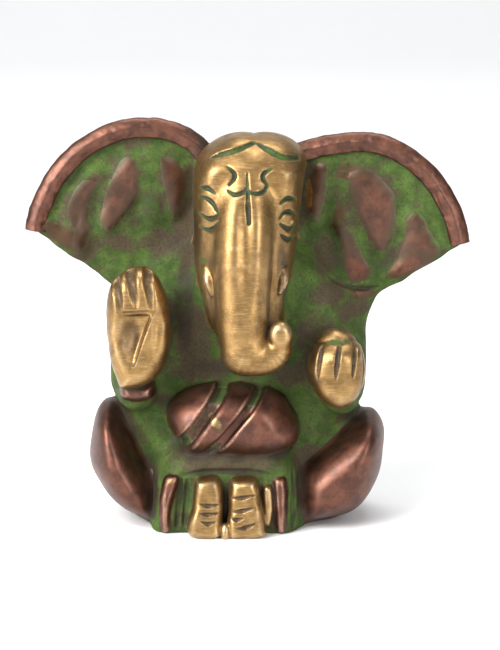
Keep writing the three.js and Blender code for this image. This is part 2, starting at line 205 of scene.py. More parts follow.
def bar(line, radii, steps=3):
    """A round bar along a smooth line through (x, y, z) points, with a radius at each."""
    return tapered(smooth_line(line, steps), smooth_line([[r] for r in radii], steps)[:, 0])


def egg(centre, radii, turn=0.0):
    """An ellipsoid, turned about y."""
    cos, sin = math.cos(turn), math.sin(turn)
    def form(x, y, z):
        px, py, pz = x - centre[0], y - centre[1], z - centre[2]
        u, w = px * cos - pz * sin, px * sin + pz * cos
        level = np.sqrt((u / radii[0]) ** 2 + (py / radii[1]) ** 2 + (w / radii[2]) ** 2)
        slope = np.sqrt((u / radii[0] ** 2) ** 2 + (py / radii[1] ** 2) ** 2 + (w / radii[2] ** 2) ** 2)
        return level * (level - 1) / (slope + 1e-9)
    return form


def hand_filed(form, depth=0.05, size=2.6):
    """A form with the slow unevenness that casting and filing by hand leave."""
    def rough(x, y, z):
        u, v, w = x / size, y / size, z / size
        slow = np.sin(1.7 * u + 0.6 * v - 0.9 * w + 1.0) * np.sin(1.3 * w + 0.8 * v + 0.5 * u + 2.0)
        quick = np.sin(2.9 * u - 1.1 * w + 1.3 * v + 0.4) * np.sin(2.6 * w - 0.9 * u + 0.7 * v + 5.0)
        return form(x, y, z) + depth * (slow + 0.6 * quick)
    return rough


FAR = 9.0  # a distance that counts as nowhere near


def bounded(form, low, high):
    """A form that is only worked out inside a box, and counts as far away outside it."""
    def local(x, y, z):
        value = np.full(np.broadcast_shapes(x.shape, y.shape, z.shape), FAR)
        if value.ndim == 3:
            axes = [c.ravel() for c in (x, y, z)]
            spans = [np.flatnonzero((c > a) & (c < b)) for c, a, b in zip(axes, low, high)]
            if all(len(span) for span in spans):
                i, j, k = (slice(span[0], span[-1] + 1) for span in spans)
                value[i, j, k] = form(x[i], y[:, j], z[:, :, k])
            return value
        near = np.ones(value.shape, bool)
        for c, a, b in zip((x, y, z), low, high):
            near &= (c > a) & (c < b)
        value[near] = form(x[near], y[near], z[near])
        return value
    return local


# ---- Chased lines ----

CHISEL_TILT = math.radians(12)  # the chisel comes from the front and this much above
CHISEL_PLANE = -9.0  # where a line's (x, z) points are given
CHISEL_TRAVEL, CHISEL_STEPS = (-9, 14), 460  # how far before and past that plane it looks for the metal
CHISEL = np.array([0.0, math.cos(CHISEL_TILT), -math.sin(CHISEL_TILT)])


def on_surface(form, points, steps=5):
    """Where the chisel meets a form along a line of (x, z) points."""
    line = smooth_line(points, steps)
    start = np.stack([line[:, 0], np.full(len(line), CHISEL_PLANE), line[:, 1]], 1)
    travel = np.linspace(*CHISEL_TRAVEL, CHISEL_STEPS)
    at = start[:, None, :] + travel[None, :, None] * CHISEL
    depth = form(at[..., 0], at[..., 1], at[..., 2])
    first = np.argmax(depth < 0, axis=1)
    return at[np.arange(len(line)), first]


class ChasedLine:
    """A line cut into the casting: where it runs, how wide it is, its swelling from end to end, how far
    its middle is lifted out of the metal, so that a wide line can be shallow, and the paint left in it."""

    def __init__(self, form, points, width, swell, lift=0.0, round_over=0.12, paint=0.0, grime=None):
        self.path = on_surface(form, points) - lift * CHISEL
        share = np.linspace(0, 1, len(self.path))
        self.radius = 0.5 * width * np.interp(share, np.linspace(0, 1, len(swell)), swell)
        self.round_over, self.paint = round_over, paint
        # The grime left in the line. In the hem line it is painted shade under the hem's overhang.
        self.grime = 0.85 - 0.6 * paint if grime is None else grime
        self.low, self.high = self.path.min(0) - width - 0.6, self.path.max(0) + width + 0.6
        self.depth = bounded(tapered(self.path, self.radius), self.low, self.high)


# ---- Skinning a form ----

CORNERS = [(i, j, k) for i in (0, 1) for j in (0, 1) for k in (0, 1)]
RING = ((-1, -1), (0, -1), (0, 0), (-1, 0))  # the four cells round a grid edge


def sampled(form, low, high, pitch):
    """A grid's first corner and a form's values on it. The outermost ones are kept outside the metal."""
    axes = [np.arange(a - 1.5 * pitch, b + 2.5 * pitch, pitch) for a, b in zip(low, high)]
    x, y, z = axes[0][:, None, None], axes[1][None, :, None], axes[2][None, None, :]
    field = np.array(np.broadcast_to(form(x, y, z), [len(a) for a in axes]), float)
    for axis in range(3):
        for end in (0, -1):
            edge = [slice(None)] * 3
            edge[axis] = end
            field[tuple(edge)] = np.maximum(field[tuple(edge)], 0.5 * pitch)
    return np.array([a[0] for a in axes]), field


def cell_points(field):
    """The cells that the surface runs through, and where it does so within each, on average."""
    cells = [n - 1 for n in field.shape]
    view = [tuple(slice(c, c + n) for c, n in zip(corner, cells)) for corner in CORNERS]
    filled = sum((field[v] < 0).astype(np.int8) for v in view)
    cell = np.argwhere((filled > 0) & (filled < 8))
    value = np.stack([field[tuple((cell + corner).T)] for corner in CORNERS], 1)
    total, crossings = np.zeros((len(cell), 3)), np.zeros(len(cell))
    for a, corner in enumerate(CORNERS):
        for axis in range(3):
            if corner[axis]:
                continue
            b = CORNERS.index(tuple(c + (n == axis) for n, c in enumerate(corner)))
            crosses = (value[:, a] < 0) != (value[:, b] < 0)
            point = np.tile(np.array(corner, float), (len(cell), 1))
            point[:, axis] = value[:, a] / np.where(crosses, value[:, a] - value[:, b], 1)
            total += point * crosses[:, None]
            crossings += crosses
    return cell, total / crossings[:, None]


def cell_quads(inside, index):
    """The outward quads, one across each grid edge that the surface crosses."""
    quads = []
    for axis in range(3):
        u, w = (axis + 1) % 3, (axis + 2) % 3
        here = [slice(1, -1)] * 3
        here[axis] = slice(0, -1)
        there = list(here)
        there[axis] = slice(1, None)
        near, far = inside[tuple(here)], inside[tuple(there)]
        for crossing, flip in ((near & ~far, False), (~near & far, True)):
            at = np.argwhere(crossing)
            at[:, u] += 1
            at[:, w] += 1
            ring = []
            for du, dw in RING:
                step = at.copy()
                step[:, u] += du
                step[:, w] += dw
                ring.append(index[tuple(step.T)])
            quads.append(np.stack(ring[::-1] if flip else ring, 1))
    return np.concatenate(quads)


def grid_skin(form, low, high, pitch):
    """The vertices and the outward quads of a form's surface inside a box."""
    origin, field = sampled(form, low, high, pitch)
    cell, share = cell_points(field)
    index = np.full([n - 1 for n in field.shape], -1)
    index[tuple(cell.T)] = np.arange(len(cell))
    return origin + pitch * (cell + share), cell_quads(field < 0, index)


def slopes(form, verts, e):
    """A form's value, gradient and bend at points, from its values a step e away on each side."""
    x, y, z = verts.T
    here = form(x, y, z)
    grad, bend = [], -6 * here
    for axis in range(3):
        step = np.zeros(3)
        step[axis] = e
        ahead = form(x + step[0], y + step[1], z + step[2])
        behind = form(x - step[0], y - step[1], z - step[2])
        grad.append((ahead - behind) / (2 * e))
        bend = bend + ahead + behind
    return here, np.stack(grad, 1), bend / (e * e)


def settled(form, verts, pitch):
    """Vertices moved on to the true surface, by no more than a part of the grid's pitch."""
    for _ in range(2):
        value, grad, _ = slopes(form, verts, 0.3 * pitch)
        length = np.maximum((grad ** 2).sum(1), 0.2)
        move = -(value / length)[:, None] * grad
        size = np.linalg.norm(move, axis=1, keepdims=True)
        verts = verts + move * np.minimum(1, 0.5 * pitch / np.maximum(size, 1e-9))
    return verts


def band(value, low, high):
    """0 below low, 1 above high and smooth between."""
    t = np.clip((value - low) / (high - low), 0, 1)
    return t * t * (3 - 2 * t)


# The mud and the dark masks also carry painted shade, in hollows and between parts.
MASKS = ("green", "copper", "mud", "dark", "rub")


def set_masks(mesh, masks):
    """Stores the paint masks on a mesh, as an attribute each."""
    count = len(mesh.vertices)
    for mask in MASKS:
        layer = mesh.attributes.new(mask, "FLOAT", "POINT")
        layer.data.foreach_set("value", np.broadcast_to(masks[mask], count).astype(np.float32))


def mesh_piece(name, verts, quads, masks, material):
    """A mesh object in metres, with its paint masks as attributes."""
    mesh = bpy.data.meshes.new(name)
    mesh.vertices.add(len(verts))
    mesh.vertices.foreach_set("co", (verts * MM).astype(np.float32).ravel())
    mesh.loops.add(quads.size)
    mesh.loops.foreach_set("vertex_index", quads.astype(np.int32).ravel())
    mesh.polygons.add(len(quads))
    mesh.polygons.foreach_set("loop_start", (4 * np.arange(len(quads))).astype(np.int32))
    mesh.update(calc_edges=True)
    mesh.polygons.foreach_set("use_smooth", np.ones(len(quads), bool))
    set_masks(mesh, masks)
    mesh.materials.append(material)
    piece = bpy.data.objects.new(name, mesh)
    bpy.context.scene.collection.objects.link(piece)
    return piece


def declare(piece, slot, nodes):
    """Says which body a piece rides on and which nodes it stands for. Its slot is not used."""
    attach(piece, "root")
    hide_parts(*nodes)


# ---- The casting: masses that melt into each other ----

MASS_REACH = 4.5  # how far past its own box a mass is worked out


class Mass:
    """One mass of the casting: its form, the finish it carries, how wide the fillet is that joins it to the
    masses before it in its group, how much coarser its grid is, and the nodes it stands for, which are the
    one of its own name unless they are given."""

    def __init__(self, name, form, finish, fillet=0.0, margin=1.3, pitch=1.0, nodes=None):
        self.name, self.nodes = name + "_cast", nodes or [name]
        self.finish, self.fillet, self.pitch = finish, fillet, pitch
        boxes = [node_box(n) for n in self.nodes]
        self.low = np.array([min(b[0][a] for b in boxes) - margin for a in range(3)])
        self.high = np.array([max(b[1][a] for b in boxes) + margin for a in range(3)])
        self.low_known, self.high_known = self.low - MASS_REACH, self.high + MASS_REACH
        self.form = bounded(form, self.low_known, self.high_known)

    def near(self, low, high):
        return bool(np.all(self.low_known < high) and np.all(self.high_known > low))


BACK_FILLET = 3.4  # how widely the groups join on the figure's back
BACK_START, BACK_FULL = 2.5, 5.0  # where in y the back begins, and where it is wholly so


class Casting:
    """The whole figure as one smooth surface, from the groups of masses that come near a box."""

    def __init__(self, groups, lines, low, high):
        self.groups = [(fillet, [m for m in group if m.near(low, high)]) for fillet, group in groups]
        self.lines = [n for n in lines if np.all(n.low < high) and np.all(n.high > low)]
        self.masses = [m for _, group in self.groups for m in group]

    def surface(self, depths, y):
        """The distance to the figure from the distances to its masses. Groups join more widely behind."""
        whole = None
        for fillet, group in self.groups:
            part = None
            for mass in group:
                depth = depths[mass]
                part = depth if part is None else melt(part, depth, mass.fillet)
            if part is not None:
                wide = np.maximum(fillet, BACK_FILLET * band(y, BACK_START, BACK_FULL))
                whole = part if whole is None else melt(whole, part, wide)
        return whole

    def __call__(self, x, y, z):
        value = self.surface({m: m.form(x, y, z) for m in self.masses}, y)
        return self.cut_lines(value, x, y, z)

    def cut_lines(self, value, x, y, z):
        for line in self.lines:
            value = gouge(value, line.depth(x, y, z), line.round_over)
        return value


LAP_SLOPE, LAP_REACH = 0.25, 1.3  # how steeply and how far a piece runs on inside its neighbours


def owned(casting, mass):
    """The part of the casting that belongs to one mass. Past the line where another mass is nearer it
    slopes down inside that one, so that two neighbours lie over each other with no gap and no step."""
    def form(x, y, z):
        depths = {m: m.form(x, y, z) for m in casting.masses}
        mine = depths[mass]
        others = np.minimum.reduce([d for m, d in depths.items() if m is not mass] or [mine + FAR])
        value = casting.cut_lines(casting.surface(depths, y), x, y, z)
        value = value + LAP_SLOPE * np.maximum(mine - others, 0)
        return np.maximum(np.maximum(value, mine - LAP_REACH), -z + 0 * (x + y))
    return form


PAINT_OVERLAP = 0.7  # how far one paint runs over the edge of the next
EAR_OVERLAP = 0.45  # how much further it runs on the ears
EAR_FLOOR, EAR_START = (34, 37), (7.8, 9)  # the ears begin over the first in z and past the second in x
COPPER_LOSS, BRASS_LOSS = 0.3, 0.2  # how far copper on the ears and brass are worn back at their edges
CRACK_REACH, VALLEY_REACH = 0.5, 2.6  # how far out of the surface a crack or a valley is felt
PAINTED_CRACKS = 9  # above this the cracks hold green paint


class Smudge:
    """A patch of paint, of mud or grime, or of painted shade on the front, oval as seen from there, that
    fades out at its edge.
    """

    FADE = (2.8, 4.0)  # where in y it gives out on the way to the back

    def __init__(self, paint, x, z, across, up, turn, most):
        self.paint, self.place, self.size, self.turn, self.most = paint, (x, z), (across, up), turn, most

    def __call__(self, x, y, z):
        cos, sin = math.cos(self.turn), math.sin(self.turn)
        px, pz = x - self.place[0], z - self.place[1]
        level = np.hypot((px * cos - pz * sin) / self.size[0], (px * sin + pz * cos) / self.size[1])
        return self.most * (1 - band(level, 0.4, 1.3)) * (1 - band(y, *self.FADE))


def paint_shares(casting, verts):
    """How much of each paint the masses call for at points of the casting."""
    x, y, z = verts.T
    nearest = {key: np.full(len(verts), FAR) for key in ("green", "copper", "brass")}
    for mass in casting.masses:
        paint = mass.finish.paint
        nearest[paint] = np.minimum(nearest[paint], mass.form(x, y, z))
    on_ear = band(z, *EAR_FLOOR) * band(np.abs(x), *EAR_START)
    nearest["copper"] = nearest["copper"] + COPPER_LOSS * on_ear
    nearest["brass"] = nearest["brass"] + BRASS_LOSS
    overlap, share = PAINT_OVERLAP + EAR_OVERLAP * on_ear, {}
    for key in nearest:
        others = np.minimum.reduce([nearest[k] for k in nearest if k != key])
        share[key] = band(others - nearest[key], -overlap, overlap)
    return share


def smudged(share, verts, smudges):
    """The green, copper, mud and dark at points, once the smudges lie over the paint. Much of the mud and
    the dark is painted shade.
    """
    green, copper = share["green"], share["copper"]
    mud, dark = np.zeros((2, len(verts)))
    for smudge in smudges:
        amount = smudge(*verts.T)
        if smudge.paint == "mud":
            mud = np.maximum(mud, amount)
        elif smudge.paint == "dark":
            dark = np.maximum(dark, amount)
        elif smudge.paint == "green":
            green = green + (amount - green) * amount
        elif smudge.paint == "copper":
            copper = copper + (amount - copper) * amount
            green = green * (1 - 0.8 * amount)
        else:
            green, copper = green * (1 - amount), copper * (1 - amount)
    return green, copper, mud, dark


def line_marks(casting, verts):
    """The paint and the grime in the chased lines, and how close to one each point is. The dark in the hem
    line is painted shade.
    """
    paint, grime, beside = np.zeros((3, len(verts)))
    for line in casting.lines:
        depth = line.depth(*verts.T)
        inside = 1 - band(depth, -0.02, 0.13)
        beside = np.maximum(beside, 1 - band(depth, 0.25, 0.8))
        paint = np.maximum(paint, inside * line.paint)
        grime = np.maximum(grime, inside * line.grime)
    return paint, grime, beside


def enclosed(casting, verts, normal, reach, shadow):
    """How shut in points are, from 0 in the open to 1 in a hollow, felt that far out of the surface."""
    tip = (verts + reach * normal).T
    open_air = casting(*tip)
    if shadow:
        open_air = np.minimum(open_air, shadow(*tip))
    return np.clip(1 - open_air / reach, 0, 1)


def paint_masks(casting, verts, smudges, shadow=None):
    """How much green, copper, mud and grime lies at points of the casting, and how rubbed they are. Painted
    shade is laid into the mud and the dark in cracks and hollows.
    """
    share = paint_shares(casting, verts)
    green, copper, mud, dark = smudged(share, verts, smudges)
    line_paint, line_grime, by_line = line_marks(casting, verts)
    _, grad, bend = slopes(casting, verts, 0.3)
    normal = grad / np.maximum(np.linalg.norm(grad, axis=1, keepdims=True), 1e-9)
    # How shut in a point is, near and wider out, as ambient occlusion gives it: below, this paints shade
    # into cracks and hollows, and green paint into the cracks.
    crack = band(enclosed(casting, verts, normal, CRACK_REACH, shadow), 0.12, 0.6)
    hollow_shade = enclosed(casting, verts, normal, VALLEY_REACH, shadow)
    # The grime in the lines, the hem's being painted shade, and the dark patches, which are painted shade.
    grime = np.maximum(line_grime, dark * (share["brass"] < 0.4))
    return {
        "green": np.maximum(green, np.maximum(line_paint, 0.55 * crack * (verts[:, 2] > PAINTED_CRACKS))),
        "copper": copper,
        # Brown mud, and painted shade in the wider hollows.
        "mud": np.maximum(mud, 0.6 * band(hollow_shade, 0.4, 1.0)),
        # Grime and dark patches, and painted shade in cracks and hollows.
        "dark": np.maximum(grime, np.maximum(0.75 * crack, 0.6 * band(hollow_shade, 0.6, 1.1))),
        "rub": band(bend, 0.3, 2.0) * (1 - crack) * (1 - 0.9 * by_line),
    }


# ---- Shader arithmetic ----

class Value:
    """A shader socket that takes part in Python arithmetic."""

    def __init__(self, shader, socket):
        self.shader, self.socket = shader, socket

    def _math(self, operation, a, b):
        return self.shader.node("Math", {"operation": operation}, {0: a, 1: b})

    def __add__(self, other):
        return self._math("ADD", self, other)

    __radd__ = __add__

    def __sub__(self, other):
        return self._math("SUBTRACT", self, other)

    def __rsub__(self, other):
        return self._math("SUBTRACT", other, self)

    def __mul__(self, other):
        return self._math("MULTIPLY", self, other)

    __rmul__ = __mul__

    def most(self, other):
        return self._math("MAXIMUM", self, other)


class Shader:
    """A material and its nodes."""

    def __init__(self, name):
        self.material = bpy.data.materials.new(name)
        self.material.use_nodes = True
        self.tree = self.material.node_tree
        self.surface = self.tree.nodes["Principled BSDF"]
        self.place = self.node("TexCoord", {}, {}, "Object")

    def node(self, kind, settings, sockets, output=0):
        """A new node: its settings are set first, then its sockets, and the named output is returned."""
        made = self.tree.nodes.new("ShaderNode" + kind)
        for key, value in settings.items():
            setattr(made, key, value)
        for key, value in sockets.items():
            self.feed(made.inputs[key], value)
        return Value(self, made.outputs[output])

    def feed(self, socket, value):
        if isinstance(value, Value):
            self.tree.links.new(value.socket, socket)
        else:
            socket.default_value = value

    def mask(self, name):
        return self.node("Attribute", {"attribute_name": name}, {}, "Fac")

    def noise(self, size, detail=4.0, rough=0.6, stretch=(1, 1, 1), shift=0.0):
        """Noise with features about size millimetres across, longer along an axis whose stretch is more."""
        scale = tuple(1 / s for s in stretch)
        at = self.node("Mapping", {}, {"Vector": self.place, "Scale": scale, "Location": (shift,) * 3})
        sockets = {"Vector": at, "Scale": 1 / (size * MM), "Detail": detail, "Roughness": rough}
        return self.node("TexNoise", {}, sockets)

    def cells(self, size):
        """The distance to the middle of the nearest of many scattered cells, 0 at the middle."""
        sockets = {"Vector": self.place, "Scale": 1 / (size * MM), "Randomness": 1.0}
        return self.node("TexVoronoi", {}, sockets)

    def band(self, value, low, high):
        """0 below low and 1 above high, or the other way round if low is the higher."""
        settings = {"interpolation_type": "SMOOTHSTEP"}
        sockets = {"Value": value, "From Min": low, "From Max": high}
        return self.node("MapRange", settings, sockets)

    def mix(self, share, a, b):
        """A colour between two colours."""
        pair = [(*c, 1.0) if isinstance(c, tuple) else c for c in (a, b)]
        return self.node("Mix", {"data_type": "RGBA"}, {0: share, 6: pair[0], 7: pair[1]}, 2)

    def blend(self, share, a, b):
        """A number between two numbers."""
        return self.node("Mix", {"data_type": "FLOAT"}, {0: share, 2: a, 3: b})


# ---- Finishes ----

BRASS_DEEP = (0.135, 0.072, 0.022)
BRASS = (0.33, 0.194, 0.068)
BRASS_BRIGHT = (0.74, 0.56, 0.33)
COPPER_DARK = (0.060, 0.029, 0.022)
COPPER = (0.16, 0.066, 0.042)
COPPER_PINK = (0.52, 0.30, 0.22)
GREEN_DEEP = (0.014, 0.021, 0.006)
GREEN = (0.034, 0.062, 0.011)
GREEN_LIGHT = (0.066, 0.112, 0.020)
# The last two browns also serve as painted shade: the first in hollows, the second in cracks, hollows and
# between parts.
BROWN_MUD_AND_SHADE = (0.072, 0.048, 0.029)
BLACK_GRIME_AND_SHADE = (0.022, 0.016, 0.011)


def brass_layer(s, rub):
    """Brass rubbed bright on its high places, with casting pits and fine scratches across it."""
    cloud = s.band(s.noise(2.6, 5, 0.62), 0.34, 0.70)
    streak = s.band(s.noise(0.2, 3, 0.7, stretch=(12, 1, 1)), 0.45, 0.72)
    tone = s.mix(cloud * 0.8, BRASS, BRASS_DEEP)
    tone = s.mix(rub * 0.4 + 0.22 * streak, tone, BRASS_BRIGHT)
    return tone, 0.36 + 0.12 * cloud + 0.06 * streak


def copper_layer(s, rub):
    """Copper-brown lacquer, worn pink on its high places and through to gold in spots."""
    cloud = s.band(s.noise(1.9, 5, 0.65), 0.36, 0.66)
    grain = s.noise(0.26, 3, 0.7)
    worn = s.band(rub * 0.6 + 0.5 * grain + 0.2 * cloud, 0.62, 1.2)
    tone = s.mix(cloud * 0.8, COPPER, COPPER_DARK)
    tone = s.mix(worn * 0.8, tone, COPPER_PINK)
    gold = s.band(s.noise(1.2, 4, 0.6, shift=0.4) + 0.22 * rub, 0.72, 0.88)
    tone = s.mix(gold * 0.55, tone, BRASS)
    thin = s.band(s.mask("copper"), 1.0, 0.55)
    return s.mix(thin * 0.8, tone, BROWN_MUD_AND_SHADE), 0.42 + 0.14 * grain


def green_layer(s, rub, mud):
    """Green paint, thin and dark in places, with the brown of the casting showing through it."""
    cloud = s.band(s.noise(2.4, 5, 0.62, shift=0.2), 0.36, 0.66)
    grain = s.noise(0.34, 5, 0.7)
    tone = s.mix(cloud, GREEN, GREEN_LIGHT)
    tone = s.mix(s.band(grain, 0.56, 0.30) * 0.55, tone, GREEN_DEEP)
    # More brown shows through where the mud mask is high, which includes the painted shade in hollows.
    bare = s.band(s.noise(1.5, 6, 0.72, shift=0.7) + 0.32 * mud + 0.1 * rub, 0.47, 0.74)
    brown = s.mix(s.band(grain, 0.34, 0.64) * 0.55 + 0.45, BLACK_GRIME_AND_SHADE, BROWN_MUD_AND_SHADE)
    tone = s.mix(bare * 0.9, tone, brown)
    speck = s.band(s.noise(0.3, 2, 0.5, shift=0.9), 0.66, 0.72)
    return s.mix(speck * 0.8, tone, BLACK_GRIME_AND_SHADE), 0.66 + 0.2 * grain


def cast_shader(name, pits, coat):
    """The three finishes laid over each other by a piece's own masks, broken up at their edges."""
    s = Shader(name)
    rub, mud, ragged = s.mask("rub"), s.mask("mud"), s.noise(0.8, 6, 0.7) - 0.5
    brass, brass_rough = brass_layer(s, rub)
    copper, copper_rough = copper_layer(s, rub)
    green, green_rough = green_layer(s, rub, mud)
    has_copper = s.band(s.mask("copper") + 0.8 * s.mask("green") + 0.9 * ragged, 0.34, 0.66)
    has_green = s.band(s.mask("green") + 1.2 * ragged, 0.44, 0.78)
    # Where grime lies, and where the dark mask paints shade in cracks, hollows and between parts.
    has_grime = s.band(s.mask("dark") + 0.55 * ragged, 0.25, 0.95)
    tone = s.mix(has_green, s.mix(has_copper, brass, copper), green)
    # Brown mud, and painted shade in hollows, where there is no green.
    tone = s.mix(s.band(mud + 0.5 * ragged, 0.3, 1.0) * (1 - has_green) * 0.7, tone, BROWN_MUD_AND_SHADE)
    pit = s.band(s.cells(0.5) + 0.7 * s.noise(1.7, 3), 0.36, 0.24) * pits
    tone = s.mix(pit * 0.8, tone, BLACK_GRIME_AND_SHADE)
    # Near-black grime and painted shade.
    tone = s.mix(has_grime * 0.9, tone, BLACK_GRIME_AND_SHADE)
    rough = s.blend(has_green, s.blend(has_copper, brass_rough, copper_rough), green_rough)
    rough = s.blend(has_grime.most(pit), rough, 0.62)
    metal = s.blend(has_green, 1.0, 0.08) * (1 - 0.75 * has_grime)
    s.feed(s.surface.inputs["Base Color"], tone)
    s.feed(s.surface.inputs["Roughness"], rough)
    s.feed(s.surface.inputs["Metallic"], metal)
    s.surface.inputs["Coat Weight"].default_value = coat
    s.surface.inputs["Coat Roughness"].default_value = 0.3
    s.surface.inputs["Specular IOR Level"].default_value = 0.2
    lumps = s.noise(1.0, 3, 0.5) * 0.5 + s.noise(0.28, 3, 0.6) * 0.25
    scratch = s.noise(0.15, 2, 0.6, stretch=(16, 1, 1)) * 0.08
    height = lumps + scratch + 0.2 * has_green - 0.5 * pit
    bump = s.node("Bump", {}, {"Height": height, "Strength": 0.45, "Distance": 0.12 * MM}, "Normal")
    s.feed(s.surface.inputs["Normal"], bump)
    return s.material


class Finish:
    """A finish: the paint it is, the record's slot, and its material."""

    def __init__(self, paint, slot, material):
        self.paint, self.slot, self.material = paint, slot, material


rubbed_brass = Finish("brass", "polished_brass", cast_shader("rubbed_brass", pits=1.0, coat=0.15))
copper_lacquer = Finish("copper", "copper_lacquer", cast_shader("copper_lacquer", pits=0.45, coat=0.25))
green_paint = Finish("green", "green_patina", cast_shader("green_paint", pits=0.6, coat=0.02))


# ---- The bare belly, the torso, arms, lap and thighs ----

EAR_ROOT, EAR_SWEEP = 3.0, 2.4
EAR_INNER, EAR_SPAN = 7, 23


def ear_bend(x):
    """How far back the ear's own middle lies at x: the fan comes forward from its root to its tip."""
    return EAR_ROOT - EAR_SWEEP * ((np.abs(x) - EAR_INNER) / EAR_SPAN) ** 2


FRONT = cad_box[0][1] / MM  # the toes
TORSO_FRONT, TORSO_BACK = (corner[1] for corner in node_box("torso"))
LAP_FRONT = node_box("lap_cloth")[0][1]
BELLY_FRONT = node_box("sash_band")[0][1]
THIGH_FRONT, THIGH_BACK = (corner[1] for corner in node_box("right_thigh"))

CHANNEL_DEPTH = 0.45  # how deep the channels between the belly's folds are
BELLY = [
    (-11, 15.7), (-9.8, 18), (-6, 19.8), (-1, 19.8), (3.2, 19.1), (5.6, 16.9), (6.9, 14.1), (5.7, 11.5),
    (0.5, 10.4), (-4.4, 10.6), (-8.2, 11), (-10.4, 13.3),
]
belly = hand_filed(pillow(Outline(BELLY, 0.5), BELLY_FRONT, -2, mid=-6, roll=4.2, power=2.2), 0.1, 2.2)

TORSO = [
    (-17.6, 12), (-18.3, 17.5), (-17.2, 24), (-14.8, 30), (-10.5, 35), (-5, 38.5), (0, 39.5), (5, 38.5),
    (10, 35), (13.6, 31), (15.2, 27), (15.4, 20), (15.2, 14), (14, 8), (12, -2), (0, -4), (-15, -2),
    (-16.5, 5),
]
chest = pillow(Outline(TORSO, 0.8), TORSO_FRONT, TORSO_BACK, mid=3, roll=8, power=2.3)
chest = hand_filed(chest, 0.14, 3.2)


def torso(x, y, z):
    """The chest and back, with the bed of the channels between the belly's folds."""
    return melt(chest(x, y, z), belly(x, y, z) + CHANNEL_DEPTH, 1.6)


RIGHT_ARM = [(-13.3, 4, 30), (-15.4, 2, 24.5), (-15.7, -2, 19.5), (-15, -6.5, 19)]
LEFT_ARM = [(12, 4, 29), (12.9, 1.5, 24), (12.8, -2.5, 19), (12.6, -6.5, 18.5)]
right_arm = hand_filed(bar(RIGHT_ARM, [3.4, 3.2, 3, 2.6]), 0.12)
left_arm = hand_filed(bar(LEFT_ARM, [3.2, 3, 2.9, 2.5]), 0.12)

RIGHT_THIGH = [
    (-21.7, 8.3), (-21.6, 11.2), (-20.9, 14.7), (-19.3, 16.4), (-17.6, 15), (-15.7, 11.9), (-13.8, 8.6),
    (-12.4, 5.8), (-11.9, 2.5), (-12.5, 0.4), (-15, 0.5), (-18, 2.2), (-20.4, 5),
]
LEFT_THIGH = [
    (5.9, 3.5), (6.6, 7.4), (8.8, 9.8), (12, 12.3), (15, 14.2), (17.1, 14.9), (18.3, 13.1), (18.7, 11),
    (18.2, 7), (16.5, 3.4), (14.2, 1.2), (11, 0.2), (8.8, 0), (6, 0),
]


def thigh(outline):
    """A smooth crossed thigh that rolls over to the back."""
    form = pillow(Outline(outline, 1.3), THIGH_FRONT - 0.2, THIGH_BACK, mid=-0.5, roll=4.6, power=2.0)
    return hand_filed(form, 0.1, 3.0)


right_thigh, left_thigh = thigh(RIGHT_THIGH), thigh(LEFT_THIGH)

LAP = [
    (-12.6, 5), (-12, 8.6), (-9.5, 10.8), (-3, 11.4), (3, 11.2), (6, 9.6), (6.8, 5), (6.4, -1), (-3, -2),
    (-12.5, -1),
]
lap = hand_filed(pillow(Outline(LAP, 0.5), LAP_FRONT, -1, mid=-5, roll=2.8, power=2.4), 0.14, 1.8)

# ---- The folds of the belly, with the sash across it ----

# The edges of the folds, each a straight line through two points, from its top to its foot.
RIGHT_FOLD_EDGE = ((-3.6, 20.6), (-9.8, 12.6))
SASH_RIGHT_EDGE = ((-2.4, 19.9), (-8.2, 11.9))
SASH_LEFT_EDGE = ((0.7, 18.9), (-6.2, 11.0))
LEFT_FOLD_EDGE = ((1.5, 18.5), (-4.5, 11.0))


def beyond(edge, side):
    """The distance past an edge line, negative on its right hand (side 1) or its left hand (side -1)."""
    (ax, az), (bx, bz) = edge
    length = math.hypot(bx - ax, bz - az)
    def form(x, y, z):
        return side * ((x - ax) * (bz - az) - (z - az) * (bx - ax)) / length
    return form


def fold(*edges, round_over=0.9):
    """The part of the belly between edge lines, with its corners rounded."""
    def form(x, y, z):
        value = belly(x, y, z)
        for edge in edges:
            value = keep(value, edge(x, y, z), round_over)
        return value
    return form


right_fold = fold(beyond(RIGHT_FOLD_EDGE, -1), round_over=0.5)
sash = fold(beyond(SASH_RIGHT_EDGE, 1), beyond(SASH_LEFT_EDGE, -1), round_over=0.8)
left_fold = fold(beyond(LEFT_FOLD_EDGE, 1), round_over=0.4)

# ---- The head and its trunk ----

HEAD = [
    (-7.3, 38), (-7.4, 44), (-7.3, 48.6), (-5.6, 51.0), (-2.5, 51.9), (0.6, 52.2), (3.5, 51.8), (6, 50.8),
    (7.5, 49), (7.1, 44.4), (6.3, 37.6), (5.4, 30.7), (4.6, 26.8), (1, 25.2), (-3.5, 25.6), (-5.7, 27.8),
    (-6.8, 32),
]
HEAD_FRONT, HEAD_BACK = (corner[1] for corner in node_box("head"))
skull = pillow(Outline(HEAD, 0.4), HEAD_FRONT, HEAD_BACK, mid=-1, roll=3.2, power=2.2, back_roll=6.8)
CROWN_MIDDLE, CROWN_SPREAD, CROWN_LEAN = 0.75, 2.2, 0.17
TRUNK = [
    (-0.1, -3.4, 49.5), (-0.3, -6.6, 44.5), (-0.7, -8.7, 38.5), (-0.85, -9.4, 33), (-0.75, -9.7, 28.5),
    (-0.4, -9.8, 25.1),
]
CURL = [(-0.4, -9.8, 25.1), (1.7, -10, 24.5), (3.6, -10.3, 25.2), (4.3, -10.6, 27.2)]
trunk_bar = bar(TRUNK, [3.2, 4.0, 3.9, 3.55, 3.4, 3.2], steps=3)
curl_bar = bar(CURL, [3.2, 2.6, 2.0, 1.5], steps=4)


